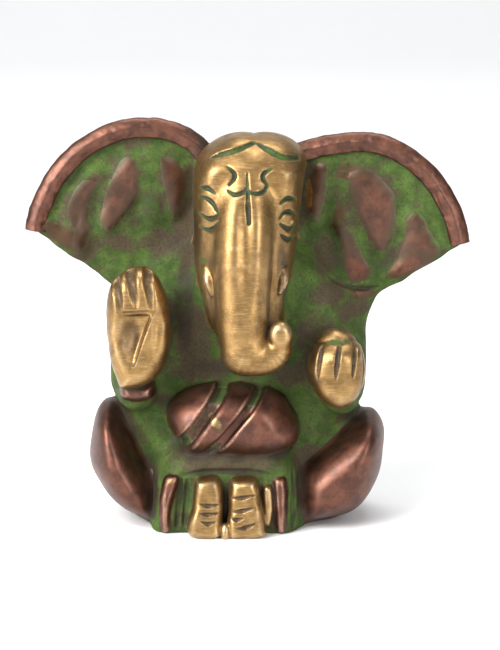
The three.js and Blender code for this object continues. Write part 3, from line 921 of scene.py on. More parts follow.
def drum(centre, radii, front, edge):
    """A short upright-faced drum along y, from front to centre, with its rim rounded."""
    def form(x, y, z):
        level = np.hypot((x - centre[0]) / radii[0], (z - centre[2]) / radii[1])
        a = (level - 1) * min(radii) + edge
        b = np.abs(y - (front + centre[1]) / 2) - (centre[1] - front) / 2 + edge
        return rounded(a, b, edge)
    return form


VALLEY_DEPTH, VALLEY_MIDDLE, VALLEY_WIDTH = 0.6, -0.4, 1.15
TRUNK_TIP = (4.25, -9.5, 27.6)
trunk_tip = drum(TRUNK_TIP, (1.55, 1.85), front=-12.4, edge=1.15)


def crown_lobe(side):
    """One of the two low lobes of the crown, which lean outwards."""
    return egg((CROWN_MIDDLE + side * CROWN_SPREAD, -1.0, 50.0), (4.8, 6.3, 3.15), side * CROWN_LEAN)


def forehead(x, y, z):
    """The head with its two crown lobes."""
    lobes = np.minimum(crown_lobe(-1)(x, y, z), crown_lobe(1)(x, y, z))
    return melt(skull(x, y, z), lobes, 0.9)


def trunk(x, y, z):
    """The trunk with its curled tip and the shallow valley down its middle."""
    value = melt(trunk_bar(x, y, z), curl_bar(x, y, z), 0.5)
    value = melt(value, trunk_tip(x, y, z), 0.3)
    depth = VALLEY_DEPTH * band(z, 30, 37) * (1 - band(z, 42, 47)) + 0.1 * band(z, 24, 30)
    return value + depth * np.exp(-((x - VALLEY_MIDDLE) / VALLEY_WIDTH) ** 2) * (y < -4)


TUSK_RADII = [0.75, 0.65, 0.3]
right_tusk = bar([(-5.4, -7.2, 35.6), (-5.3, -8.0, 34.2), (-4.9, -8.2, 32.6)], TUSK_RADII)
left_tusk = bar([(4.6, -7.0, 35.4), (4.6, -7.8, 34.1), (4.2, -8.0, 32.7)], TUSK_RADII)
right_eye = egg((-5.45, -6.5, 43.7), (1.15, 1.0, 0.6), -0.45)
left_eye = egg((5.25, -6.4, 42.2), (0.85, 0.9, 0.6), 0.2)

# ---- The ears ----

RIGHT_EAR = [
    (-29.4, 41), (-28.5, 43.5), (-25.7, 48), (-22.5, 51), (-18, 53.2), (-14, 53.5), (-10.5, 53), (-6, 51),
    (-5, 44), (-5, 36), (-7, 28), (-13, 28.2), (-17.6, 31.1), (-22.5, 34.7), (-27.2, 38.2),
]
LEFT_EAR = [
    (5, 36), (5, 44), (6.5, 50), (12, 51.2), (16.5, 51.5), (21, 49.8), (24.7, 47.2), (27.4, 43.5),
    (29.2, 39.3), (28.8, 37.6), (26.5, 36.2), (22.4, 33.8), (18, 30.8), (14.8, 28), (8, 27),
]
PANEL_FRONT, PANEL_BACK = -0.35, 1.5
RIGHT_FOLDS = {
    "inner": [
        (-11.9, 49.4), (-10.1, 48.8), (-9, 46.7), (-9.2, 44.4), (-10.1, 41.6), (-11, 43.4), (-11.6, 46),
    ],
    "middle": [
        (-16, 49.4), (-14.8, 47.6), (-15.5, 44.6), (-16.9, 42.2), (-18.8, 39.6), (-19.7, 40.7),
        (-19.3, 43.6), (-17.7, 47.7),
    ],
    "outer": [
        (-20.4, 46.9), (-22.4, 46.0), (-23.9, 43.6), (-24.4, 41.1), (-24.2, 38.2), (-22.8, 37.0),
        (-22.1, 39.3), (-22.2, 42.2), (-21.4, 44.6),
    ],
}
LEFT_FOLDS = {
    "inner": [(9.3, 48.2), (10.8, 48.2), (10.8, 45.6), (10.1, 42.9), (9.3, 40.2), (8.6, 43.2), (8.8, 45.9)],
    "middle": [
        (13.5, 46.9), (16.5, 47.3), (18.9, 45.1), (19.7, 42.9), (19.4, 39.8), (18.4, 36.6), (16.7, 38.4),
        (15.2, 41.1), (14.4, 43.5),
    ],
    "outer": [
        (22.0, 41.4), (23.5, 41.2), (24.7, 38.6), (25.9, 36.6), (23.6, 35), (20.1, 33.4), (20.8, 35.8),
        (21.5, 38.6),
    ],
    "lower": [
        (12.6, 41.2), (13.7, 39.6), (15.1, 36.2), (16.7, 33), (14.6, 32.6), (13.6, 35.6), (12.6, 38.4),
    ],
}
FOLD_ROLL = {"inner": 1.3, "middle": 2.3, "outer": 1.5, "lower": 1.3}
FOLD_HEIGHT = {"inner": 0.85, "middle": 1.05, "outer": 0.8, "lower": 0.65}


def ear_fold(outline, roll, height):
    """A leaf-shaped fold that stands on the front of an ear."""
    shape = Outline(outline, 0.9)
    leaf = pillow(shape, PANEL_FRONT - height, PANEL_FRONT + 1.2, mid=PANEL_FRONT, roll=roll, power=1.9)
    return hand_filed(lambda x, y, z: leaf(x, y - ear_bend(x), z), 0.07, 1.6)


def ear_ridge(points, radius):
    """A soft ridge in the painted hollow of an ear, along a line of (x, z) points."""
    stand = PANEL_FRONT + 0.35 * radius
    return bar([(x, ear_bend(x) + stand, z) for x, z in points], [radius] * len(points))


RIGHT_RIDGES = [
    ear_ridge([(-13.5, 49), (-13.2, 45.5), (-12.9, 41.6)], 1.0),
    ear_ridge([(-24.8, 39.4), (-27.4, 40.4)], 1.0),
]
LEFT_RIDGES = [
    ear_ridge([(11.9, 47.2), (12.1, 43.6), (12.4, 40.8)], 1.1),
    ear_ridge([(20.4, 33.4), (17.4, 32.4)], 0.8),
    ear_ridge([(11.6, 31.4), (13.6, 30.8), (15.4, 30.9)], 1.0),
]


def ear(outline, ridges):
    """An ear's painted panel with its soft ridges."""
    panel = plate(Outline(outline, 0.3), PANEL_FRONT, PANEL_BACK, edge=0.55, bend=ear_bend)
    def form(x, y, z):
        value = panel(x, y, z)
        for ridge in ridges:
            value = melt(value, ridge(x, y, z), 1.6)
        return value
    return hand_filed(form, 0.11, 2.4)


right_ear, left_ear = ear(RIGHT_EAR, RIGHT_RIDGES), ear(LEFT_EAR, LEFT_RIDGES)

# ---- Hands, the sweet and the feet ----

RIGHT_HAND = [
    (-18.9, 30), (-18.6, 32.8), (-17.5, 34.9), (-15.4, 36.2), (-13.4, 36.1), (-11.8, 34.6), (-10.7, 31.6),
    (-10.3, 28), (-10.5, 25.2), (-11.6, 22.4), (-13.4, 20.6), (-16.8, 20), (-17.9, 22), (-18.7, 25.6),
]
HAND_FRONT, HAND_BACK = (corner[1] for corner in node_box("right_hand"))
HAND_MIDDLE = -8.6
right_plain = pillow(Outline(RIGHT_HAND, 0.3), HAND_FRONT, HAND_BACK, mid=HAND_MIDDLE, roll=2.5, power=2.3)
right_plain = hand_filed(right_plain, 0.06, 1.8)
THUMB_EDGE = ((-12.5, 30.9), (-15.2, 23.5))
PALM_TOP = 30.9
PALM_MIDDLE, PALM_SIZE, PALM_DEPTH = (-14.7, 27.9), (2.9, 4.8), 1.5


def right_hand(x, y, z):
    """The hand with its hollow: soft towards its outer side, crisp at the fingers and the thumb."""
    level = np.hypot((x - PALM_MIDDLE[0]) / PALM_SIZE[0], (z - PALM_MIDDLE[1]) / PALM_SIZE[1])
    hollow = 1 - band(level, 0.0, 1.2)
    hollow = hollow * band(-beyond(THUMB_EDGE, -1)(x, y, z), -0.1, 0.35) * band(PALM_TOP - z, -0.1, 0.8)
    return right_plain(x, y, z) + PALM_DEPTH * hollow * (y < HAND_MIDDLE)


LEFT_HAND = [
    (7.8, 22), (8.1, 24.5), (9.2, 26.1), (12, 26.9), (14.6, 26.0), (15.5, 23.9), (15.5, 20.9), (14.2, 18.2),
    (12.3, 17.2), (10.2, 17.9), (8.6, 19.7),
]
FIST_FRONT, FIST_BACK = (corner[1] for corner in node_box("left_hand"))
fist = pillow(Outline(LEFT_HAND, 0.3), FIST_FRONT, FIST_BACK, mid=-8.4, roll=3.0, power=2.2)
fist = hand_filed(fist, 0.06, 1.8)
sweet = hand_filed(egg((11.7, -8.1, 25.5), (2.9, 2.5, 2.3), 0.1), 0.08, 1.5)
CUFF = [
    (-17.2, 19.4), (-16.9, 20.4), (-15.2, 20.7), (-13, 20.5), (-12.6, 19.4), (-13.2, 18.4), (-15.2, 18.0),
    (-16.8, 18.4),
]
cuff = hand_filed(pillow(Outline(CUFF, 0.2), -10.4, -5.5, mid=-7.5, roll=1.2), 0.06)

FOOT_RISE = 0.1  # how much a foot leans back for each unit of height
RIGHT_FOOT = [
    (-7.6, 4), (-7.2, 7.2), (-6.6, 8.0), (-5.2, 8.2), (-4.1, 8.0), (-3.5, 7.1), (-3.35, 5), (-3.5, 2),
    (-3.7, 0.2), (-5.6, -0.3), (-7.9, 0.2), (-8.2, 1.4),
]
LEFT_FOOT = [
    (-2.75, 4), (-2.6, 7.1), (-2, 8.0), (-0.6, 8.2), (0.8, 8.0), (1.4, 7.1), (1.8, 4.9), (2.3, 1.8),
    (2.2, 0.2), (-0.3, -0.3), (-2.6, 0), (-2.9, 1.4),
]


def foot(outline):
    """A blocky foot that leans back a little as it rises."""
    sole = pillow(Outline(outline, 0.2), FRONT + 0.15, -7, mid=-10.6, roll=1.5, power=2.8)
    return hand_filed(lambda x, y, z: sole(x, y - FOOT_RISE * z, z), 0.06, 1.5)


right_foot, left_sole = foot(RIGHT_FOOT), foot(LEFT_FOOT)
little_toe = egg((-3.1, -12.2, 0.8), (0.75, 1.0, 1.3))


def left_foot(x, y, z):
    """The left foot with the small toe between the two feet."""
    return melt(left_sole(x, y, z), little_toe(x, y, z), 0.15)


def strip(outline, stand, roll):
    """A narrow pleat of cloth that stands proud of the lap."""
    mid = LAP_FRONT + 0.3
    form = pillow(Outline(outline, 0.15), LAP_FRONT - stand, LAP_FRONT + 1.6, mid=mid, roll=roll, power=1.8)
    return hand_filed(form, 0.06, 1.6)


RIGHT_PLEAT = [
    (-12, 3.8), (-11.6, 6.8), (-10.8, 8), (-9.4, 8), (-9.8, 6), (-10.5, 3), (-10.6, 0.7), (-11.2, 0.1),
    (-11.8, 0.7),
]
LEFT_PLEAT = [(3.4, 4), (3.3, 7.3), (4.1, 7.9), (5, 7.4), (5.2, 4.4), (5, 0.8), (4.4, 0.1), (3.7, 0.8)]
HEEL = [(1.8, 4.2), (1.8, 6.3), (2.4, 7.0), (3.2, 6.5), (3.4, 4.4), (3.3, 2.0), (2.7, 1.0), (1.9, 1.6)]
right_pleat, left_pleat = strip(RIGHT_PLEAT, 0.8, 0.8), strip(LEFT_PLEAT, 0.8, 0.75)
heel = strip(HEEL, 1.1, 0.6)

# ---- The groups of masses, from the first cast to the last, with the fillet that joins each group ----

BODY = [
    Mass("torso", torso, green_paint, pitch=1.6),
    Mass("right_arm", right_arm, green_paint, 2.2, pitch=1.2),
    Mass("left_arm", left_arm, green_paint, 2.2, pitch=1.2),
    Mass("waist", lap, green_paint, 2.6, nodes=["lap_cloth"]),
    Mass("right_thigh", right_thigh, copper_lacquer, 1.4, pitch=1.2),
    Mass("left_thigh", left_thigh, copper_lacquer, 1.4, pitch=1.2),
    Mass("right_pleat", right_pleat, copper_lacquer, 0.4),
    Mass("left_pleat", left_pleat, copper_lacquer, 0.4),
    Mass("right_belly", right_fold, copper_lacquer, 0.3, nodes=["belly_fold_right"]),
    Mass("sash", sash, copper_lacquer, 0.3, nodes=["sash_band"]),
    Mass("left_belly", left_fold, copper_lacquer, 0.3, nodes=["belly_fold_left"]),
]


def ear_group(side, panel, folds):
    """The masses of one ear: its panel, and the folds that stand on it."""
    masses = [Mass(f"{side}_ear", panel, green_paint, pitch=1.15)]
    for name, outline in folds.items():
        form = ear_fold(outline, FOLD_ROLL[name], FOLD_HEIGHT[name])
        masses.append(Mass(f"{side}_ear_fold_{name}", form, copper_lacquer, 2.2, margin=1.8))
    return masses


FACE = [
    Mass("head", forehead, rubbed_brass, pitch=0.9, nodes=["head", "right_crown_lobe", "left_crown_lobe"]),
    Mass("trunk", trunk, rubbed_brass, 1.3, pitch=0.9),
    Mass("right_tusk", right_tusk, rubbed_brass, 0.4, pitch=0.8),
    Mass("left_tusk", left_tusk, rubbed_brass, 0.4, pitch=0.8),
    Mass("right_eye", right_eye, rubbed_brass, 0.2, pitch=0.8),
    Mass("left_eye", left_eye, rubbed_brass, 0.2, pitch=0.8),
]
HANDS = [
    Mass("right_palm", right_hand, rubbed_brass, pitch=0.9, nodes=["right_hand"]),
    Mass("cuff", cuff, copper_lacquer, 0.3, nodes=["right_cuff"]),
    Mass("sweet", sweet, rubbed_brass, 0.3),
    Mass("left_fist", fist, rubbed_brass, 0.12, pitch=0.9, nodes=["left_hand"]),
]
FEET = [
    Mass("right_foot", right_foot, rubbed_brass, pitch=0.9),
    Mass("left_foot", left_foot, rubbed_brass, 0.25, pitch=0.9),
    Mass("heel", heel, rubbed_brass, 0.2, nodes=["left_heel"]),
]
RIGHT_EAR_GROUP = ear_group("right", right_ear, RIGHT_FOLDS)
LEFT_EAR_GROUP = ear_group("left", left_ear, LEFT_FOLDS)
GROUPS = [
    (0.0, BODY), (3.6, RIGHT_EAR_GROUP), (3.6, LEFT_EAR_GROUP), (0.7, FACE), (0.6, HANDS), (0.35, FEET),
]

# ---- Lines chased with a punch after casting ----

def plain(*masses):
    """The forms of some masses, melted as they are in the figure, before any line is cut."""
    def form(x, y, z):
        value = masses[0].form(x, y, z)
        for mass in masses[1:]:
            value = melt(value, mass.form(x, y, z), mass.fillet)
        return value
    return form


LINES = []


def chase(form, strokes, width, swell=(0.35, 1, 1, 0.35), **how):
    """Cuts a line into the figure for each stroke."""
    LINES.extend(ChasedLine(form, stroke, width, swell, **how) for stroke in strokes)


CROWN_STROKES = [
    [(-4.9, 51.2), (-3.6, 51.6), (-1.4, 52.2), (0.7, 53.2)],
    [(1.2, 53.1), (2.6, 52.2), (4.4, 51.2), (6.7, 51.2)],
]
BROW_STROKES = [
    [(-2.8, 49.8), (-1.9, 48.9), (-1.9, 48.2), (-2.6, 47.3)],
    [(-2.8, 46.6), (-1.9, 46.0), (-0.9, 46.2), (-0.2, 47)],
    [(3.1, 49.5), (2.1, 48.9), (1.9, 48.2), (2.5, 47.4)],
    [(-0.1, 46.6), (0.9, 46.1), (2.0, 46.4), (2.5, 47.4)],
]
BROW_UPRIGHT = [(-0.2, 48.9), (-0.1, 47), (-0.05, 44.5), (0.05, 42.1)]
EYE_STROKES = [
    [(-6.4, 47.1), (-5.4, 46.9), (-4.4, 46.2)],
    [(-6.6, 45.9), (-5.6, 45.6), (-4.6, 44.7), (-4.0, 43.4)],
    [(-6.6, 43.7), (-5.4, 42.9), (-4.7, 42.9), (-4.0, 43.4)],
    [(-6.5, 41.9), (-5.3, 41.3), (-4.7, 41.5), (-4.0, 42.3)],
    [(4.2, 44.9), (5.2, 45.6), (6.3, 45.5)],
    [(4.1, 42.9), (4.8, 43.7), (5.6, 43.8), (6.3, 43.5)],
    [(4.2, 42.2), (5.3, 41.5), (6.3, 42.2)],
    [(4.3, 40.7), (5.3, 40.1), (6.2, 40.7)],
]
FACE_FORM = plain(*FACE)
chase(FACE_FORM, CROWN_STROKES, 1.0, (0.4, 1, 1, 0.6), paint=0.95)
chase(FACE_FORM, BROW_STROKES, 0.6, (0.4, 1, 1, 0.5), paint=0.95)
chase(FACE_FORM, [BROW_UPRIGHT], 0.65, (0.5, 0.6, 1, 0.9), paint=0.75)
chase(FACE_FORM, EYE_STROKES, 0.7, (0.4, 1, 0.4), paint=0.95)

FINGER_STROKES = [
    [(-17.9, 35.1), (-17.5, 33.4), (-17.1, 31.7), (-16.9, 30.2)],
    [(-15.8, 36.4), (-15.5, 34.6), (-15.1, 32.8), (-14.8, 31)],
    [(-13.1, 36.3), (-13.1, 34.4), (-12.9, 32.4), (-12.8, 30.3)],
]
PALM_CREASE = [(-17.4, 30.1), (-15, 30.2), (-12.2, 30.4)]
THUMB_CREASE = [(-12.5, 30.2), (-13.9, 26.6), (-15.2, 22.9)]
THUMB_VALLEY = [(-11.7, 30), (-11.8, 27), (-12.6, 23.6)]
HAND_FORM = plain(HANDS[0])
chase(HAND_FORM, FINGER_STROKES, 1.4, (1, 0.95, 0.75, 0.3), lift=0.1, round_over=0.4, grime=0.8)
chase(HAND_FORM, [PALM_CREASE], 0.36, (0.3, 1, 1, 0.5), paint=0.3)
chase(HAND_FORM, [THUMB_CREASE], 0.3, (0.5, 1, 0.8))
chase(HAND_FORM, [THUMB_VALLEY], 1.9, (0.3, 1, 0.8, 0.3), lift=0.7, round_over=0.5, grime=0.0)
FIST_STROKES = [
    [(9.7, 25.6), (9.3, 23.5), (9.1, 21.4)],
    [(12.0, 25.7), (11.7, 23.4), (11.5, 21.2)],
    [(14.2, 25.5), (14.0, 23.4), (13.8, 21.5)],
]
LITTLE_FINGER_LINE = [(15.0, 25.3), (15.3, 22.6), (14.9, 19.4)]
FIST_FORM = plain(HANDS[3])
chase(FIST_FORM, FIST_STROKES, 0.7, (0.5, 1, 0.9, 0.3), round_over=0.2)
chase(FIST_FORM, [LITTLE_FINGER_LINE], 0.35)

TOE_STROKES = [
    [(-6.6, 4.1), (-5.4, 3.8), (-3.9, 4.0)],
    [(-6.6, 2.8), (-5.5, 2.6), (-4.0, 2.8)],
    [(-6.4, 1.7), (-5.4, 1.3), (-4.3, 1.7)],
    [(-2.4, 4.9), (-0.9, 4.9), (0.9, 5.3)],
    [(-2.3, 3.0), (-0.9, 3.1), (0.9, 3.6)],
    [(-2.3, 2.0), (-1.6, 1.9), (-0.7, 2.1)],
    [(-1.7, 0.7), (-0.4, 0.8), (1.0, 1.4)],
]
chase(plain(*FEET), TOE_STROKES, 0.6, (0.2, 1, 0.2))

HEM = [(-9.0, 7.9), (-6.5, 8.3), (-2.5, 8.4), (1.2, 8.3), (2.8, 8.0)]
HEM_FORM = Casting(GROUPS, [], np.array([-10, -14, 5]), np.array([4, -5, 12]))
# The dark left in the hem line is painted shade, where the hem overhangs the feet.
chase(HEM_FORM, [HEM], 0.7, (0.4, 1, 1, 0.4), round_over=0.4, paint=0.2, grime=0.8)
LAP_STROKES = [
    [(-9.0, 7.4), (-9.3, 4.4), (-9.7, 0.8)],
    [(-8.2, 7.2), (-8.4, 4.4), (-8.7, 1.0)],
    [(6.0, 8.6), (6.1, 4), (6.0, 0.6)],
]
chase(BODY[3].form, LAP_STROKES, 0.8, (0.5, 1, 1, 0.6), round_over=0.3, paint=0.9)
EAR_CREASE = [(10.8, 35.0), (13.5, 33.9), (16.0, 33.6), (17.6, 33.9)]
EAR_CREASE_FORM = Casting(GROUPS, [], np.array([9, -12, 26]), np.array([22, 8, 38]))
chase(EAR_CREASE_FORM, [EAR_CREASE], 0.6, (0.3, 1, 1, 0.5), grime=0.7)

# ---- Smudges: where paint and grime stray from the masses they belong to, and where shade is painted ----

# By paint: the middle, how far it reaches across and up, its turn and its strength.
SMUDGES = {
    "copper": [
        (-25.8, 39.2, 3.8, 1.6, 0.6, 0.75), (12.2, 41.2, 1.1, 3.0, 0.1, 0.62),
        (13.2, 47.6, 2.4, 1.2, -0.3, 0.62), (21.5, 34.6, 3.6, 1.3, -0.5, 0.9),
        (15.6, 30.8, 2.4, 1.0, 0, 0.75),
    ],
    "green": [
        (-6.1, 36.9, 1.0, 0.7, 0, 0.85), (4.7, 36.6, 0.9, 0.7, 0, 0.85), (-6.6, 29.8, 1.2, 4.0, 0, 1.0),
        (-7.2, 45, 0.5, 3.0, 0, 0.6), (5.3, 31.2, 1.1, 3.4, 0, 1.0), (12, 26.5, 3.0, 0.5, 0, 0.85),
    ],
    "brass": [
        (-4.4, 16.0, 1.5, 0.9, 0.9, 0.58), (8.2, 44.3, 0.6, 2.6, 0, 0.7),
    ],
    # Brown mud, much of it painted shade in the hollows beside the trunk, the head and the hands.
    "mud": [
        (-8.2, 39.5, 2.2, 6, 0, 1.0), (-11.5, 37.5, 3.2, 1.8, 0, 0.9),
        (-17.5, 37.8, 3.0, 1.4, 0.3, 0.8), (-22, 36.8, 2.6, 1.6, -0.6, 0.8),
        (-15.6, 51.3, 2.4, 1.0, 0, 0.6), (-7.6, 26, 2.6, 5, 0, 1.0), (-6.5, 21.5, 5, 1.4, 0, 0.9),
        (8.3, 26, 2.4, 3.4, 0, 0.75), (8.0, 21.5, 2.6, 1.6, 0, 0.7), (10.5, 36, 2.0, 3.0, 0, 0.7),
        (11.0, 31.4, 2.6, 1.6, 0, 0.9), (14.2, 29.0, 2.6, 1.4, 0, 1.0), (-3, 10.3, 8, 1.8, 0, 1.0),
        (8.0, 9.5, 2.6, 2.0, 0, 0.8), (-4.5, 22.2, 6, 1.0, 0, 0.8), (5.8, 20.6, 2.4, 1.6, 0, 0.8),
        (-6.6, 27.5, 1.0, 3.5, 0, 0.9), (-15.7, 27.4, 1.8, 3.0, 0, 1.0), (4.4, 36.5, 0.9, 5.5, 0, 0.9),
        (-5.0, 35, 0.5, 7, 0, 0.6), (21, 36.5, 3.4, 1.4, -0.5, 0.8), (16.4, 44, 4.4, 5.4, 0, 0.45),
        (-17.4, 44.5, 3.6, 5.6, 0, 0.45), (-23.4, 42, 2.6, 5.0, 0, 0.5),
        (-10.6, 45.4, 2.4, 4.6, 0, 0.45),
    ],
    # Dark patches, which are painted shade: beside the trunk and the hands, under the trunk and the right
    # hand, and in the hollow of the right ear.
    "dark": [
        (-8.7, 30, 1.8, 8, 0, 0.7), (-9.5, 37.5, 2.5, 2.2, 0, 0.5), (7.0, 25.5, 1.4, 4.5, 0, 0.5),
        (-3, 21.9, 6, 1.2, 0, 0.6), (-14, 42, 5.5, 5.5, 0, 0.45), (-22, 44, 4, 5, 0, 0.4),
        (-15, 19.3, 2.6, 1.3, 0, 0.5),
    ],
}
smudges = [Smudge(paint, *row) for paint, rows in SMUDGES.items() for row in rows]

# ---- Geometry Nodes: the rolled rims, which follow the edges of the ears ----

def swept_tree():
    """A Geometry Nodes tree that sweeps a section along a curve and leaves it a little uneven."""
    tree = bpy.data.node_groups.new("swept_line", "GeometryNodeTree")
    face = tree.interface
    face.new_socket("Geometry", in_out="OUTPUT", socket_type="NodeSocketGeometry")
    inputs = {"Geometry": "Geometry", "Section": "Object", "Rings": "Int", "Filed depth": "Float",
              "Filed size": "Float", "Finish": "Material"}
    for name, kind in inputs.items():
        face.new_socket(name, in_out="INPUT", socket_type="NodeSocket" + kind)

    def node(kind, sockets, settings=(), output=0):
        """A new node with its settings and its sockets, by name or number. One output is returned."""
        made = tree.nodes.new(kind)
        for key, value in dict(settings).items():
            setattr(made, key, value)
        for key, value in sockets.items():
            if isinstance(value, bpy.types.NodeSocket):
                tree.links.new(value, made.inputs[key])
            else:
                made.inputs[key].default_value = value
        return made.outputs[output] if made.outputs else None

    given = tree.nodes.new("NodeGroupInput").outputs
    section = node("GeometryNodeObjectInfo", {"Object": given["Section"]}, output="Geometry")
    line = node("GeometryNodeResampleCurve", {"Curve": given["Geometry"], "Count": given["Rings"]})
    line = node("GeometryNodeSetCurveNormal", {"Curve": line}, {"mode": "Z_UP"})
    swept = node("GeometryNodeCurveToMesh", {"Curve": line, "Profile Curve": section, "Fill Caps": True})
    noise = node("ShaderNodeTexNoise", {"Scale": given["Filed size"], "Detail": 2.0})
    level = node("ShaderNodeMath", {0: noise, 1: 0.5}, {"operation": "SUBTRACT"})
    depth = node("ShaderNodeMath", {0: level, 1: given["Filed depth"]}, {"operation": "MULTIPLY"})
    normal = node("GeometryNodeInputNormal", {})
    push = node("ShaderNodeVectorMath", {"Vector": normal, "Scale": depth}, {"operation": "SCALE"})
    moved = node("GeometryNodeSetPosition", {"Geometry": swept, "Offset": push})
    smooth = node("GeometryNodeSetShadeSmooth", {"Geometry": moved})
    real = node("GeometryNodeRealizeInstances", {"Geometry": smooth})
    coated = node("GeometryNodeSetMaterial", {"Geometry": real, "Material": given["Finish"]})
    node("NodeGroupOutput", {0: coated})
    return tree


SWEPT = swept_tree()
RIM_FILED, RIM_FILED_SCALE = 0.3, 700.0  # how deep the filing of a rim is, and its waves in a metre


def curve_object(name, line, radii=None, closed=False):
    """A curve object with one straight-sided spline through a list of points in millimetres."""
    curve = bpy.data.curves.new(name, "CURVE")
    curve.dimensions = "3D"
    spline = curve.splines.new("POLY")
    spline.points.add(len(line) - 1)
    for index, (point, place) in enumerate(zip(spline.points, line)):
        point.co = (*(np.array(place) * MM), 1)
        point.radius = 1 if radii is None else radii[index]
    spline.use_cyclic_u = closed
    made = bpy.data.objects.new(name, curve)
    bpy.context.scene.collection.objects.link(made)
    return made


def swept_piece(name, line, radii, section, finish):
    """A plain mesh swept along a line by the tree above, with a section scaled by the radii."""
    made = curve_object(name + "_line", line, radii)
    modifier = made.modifiers.new("swept", "NODES")
    modifier.node_group = SWEPT
    values = {"Section": section, "Rings": RIM_STEPS, "Filed depth": RIM_FILED * MM,
              "Filed size": RIM_FILED_SCALE, "Finish": finish.material}
    for item in SWEPT.interface.items_tree:
        if item.in_out == "INPUT" and item.name in values:
            modifier[item.identifier] = values[item.name]
    mesh = bpy.data.meshes.new_from_object(made.evaluated_get(bpy.context.evaluated_depsgraph_get()))
    bpy.data.objects.remove(made)
    piece = bpy.data.objects.new(name, mesh)
    bpy.context.scene.collection.objects.link(piece)
    return piece


# The rim's section, as (towards the viewer, towards the ear's middle): a bevel outside, a broad face and
# a crisp inner edge.
RIM_SECTION = [
    (-1.25, -0.9), (-0.3, -1.42), (0.55, -1.3), (1.3, -0.45), (1.34, 0.1), (1.12, 0.8), (0.95, 1.12),
    (0.6, 1.22), (-0.7, 1.15), (-1.4, 0.4),
]
# Each rim runs through these (x, z) points from its tip or root, with its thickness at each.
RIMS = {
    "right": (
        [
            (-28.9, 39.6), (-28.88, 39.75), (-28.85, 40.05), (-28.8, 40.5), (-28.7, 41), (-28.2, 42.6),
            (-26.1, 46.7), (-22.6, 50.4), (-18.2, 52.7), (-14.3, 53.3), (-10.5, 52.8), (-7.4, 51.2),
            (-5.9, 49.4),
        ],
        [0.05, 0.45, 0.7, 0.88, 0.95, 1, 1.05, 1.05, 1.02, 1, 0.9, 0.72, 0.5],
    ),
    "left": (
        [
            (5.8, 49.2), (7.4, 50), (11.5, 51), (16.5, 51.3), (20.5, 50), (24.6, 46.8), (27.2, 42.8),
            (28.1, 40.5), (28.4, 39.2), (28.55, 38.6), (28.65, 38.2), (28.7, 37.95), (28.72, 37.82),
        ],
        [0.5, 0.62, 0.75, 0.85, 0.95, 1.05, 1.05, 1.02, 0.95, 0.88, 0.7, 0.45, 0.05],
    ),
}
RIM_RADIUS = 1.25  # of the room that a rim takes up where its thickness is 1


def rim_line(side):
    """Where a rim runs, on the ear's own middle."""
    return [(x, ear_bend(x), z) for x, z in RIMS[side][0]]


def rim_room(side):
    """The space that a rim fills."""
    return bar(rim_line(side), [RIM_RADIUS * swell for swell in RIMS[side][1]], steps=2)


right_rim_room, left_rim_room = rim_room("right"), rim_room("left")


def rim_shadow(x, y, z):
    """The space of both rims, which darkens the paint under them."""
    return np.minimum(right_rim_room(x, y, z), left_rim_room(x, y, z))


def ear_rim(side, section):
    """A rolled rim, with the paint worn on its front, and browner and darker at its root by the head."""
    path = smooth_line(rim_line(side), 6)
    radii = smooth_line([[swell] for swell in RIMS[side][1]], 6)[:, 0]
    rim = swept_piece(f"{side}_ear_rim_cast", path, radii, section, copper_lacquer)
    verts = np.empty(3 * len(rim.data.vertices), np.float32)
    rim.data.vertices.foreach_get("co", verts)
    x, y, _ = verts.reshape(-1, 3).T.astype(float) / MM
    root = 1 - band(np.abs(x), 6.5, 10.5)
    set_masks(rim.data, {
        "green": 0.35 * root,
        "copper": 1.0,
        "mud": 0.75 * root,
        "dark": 0.7 * (1 - band(np.abs(x), 6.3, 8)),
        "rub": 0.3 * band(ear_bend(x) - y, 0.3, 1.2),
    })
    declare(rim, copper_lacquer.slot, [f"{side}_ear_rim"])


rim_loop = smooth_line([(a, b, 0) for a, b in RIM_SECTION], 5, closed=True)
rim_section = curve_object("rim_section", rim_loop, closed=True)
for ear_side in RIMS:
    ear_rim(ear_side, rim_section)
bpy.data.objects.remove(rim_section)

# ---- The cast pieces ----

NEIGHBOUR_MARGIN = 0.8  # how far round a mass the other masses and the lines are taken in


def cast_piece(mass):
    """Skins the part of the casting that one mass owns, and paints it."""
    casting = Casting(GROUPS, LINES, mass.low - NEIGHBOUR_MARGIN, mass.high + NEIGHBOUR_MARGIN)
    pitch = PITCH * mass.pitch
    form = owned(casting, mass)
    verts, quads = grid_skin(form, mass.low, mass.high, pitch)
    verts = settled(form, verts, pitch)
    masks = paint_masks(casting, verts, smudges, rim_shadow if "_ear" in mass.name else None)
    piece = mesh_piece(mass.name, verts, quads, masks, mass.finish.material)
    declare(piece, mass.finish.slot, mass.nodes)


for _, cast_group in GROUPS:
    for cast_mass in cast_group:
        cast_piece(cast_mass)

# ---- Floor, light and camera ----

FLOOR_HALF_WIDTH, FLOOR_FRONT, FLOOR_LENGTH = 1.6, -0.9, 1.5
FLOOR_BEND, WALL_TOP = 0.5, 1.6  # the radius that the floor turns up in, and how high it goes
FLOOR_ROWS, BEND_ROWS = 13, 10


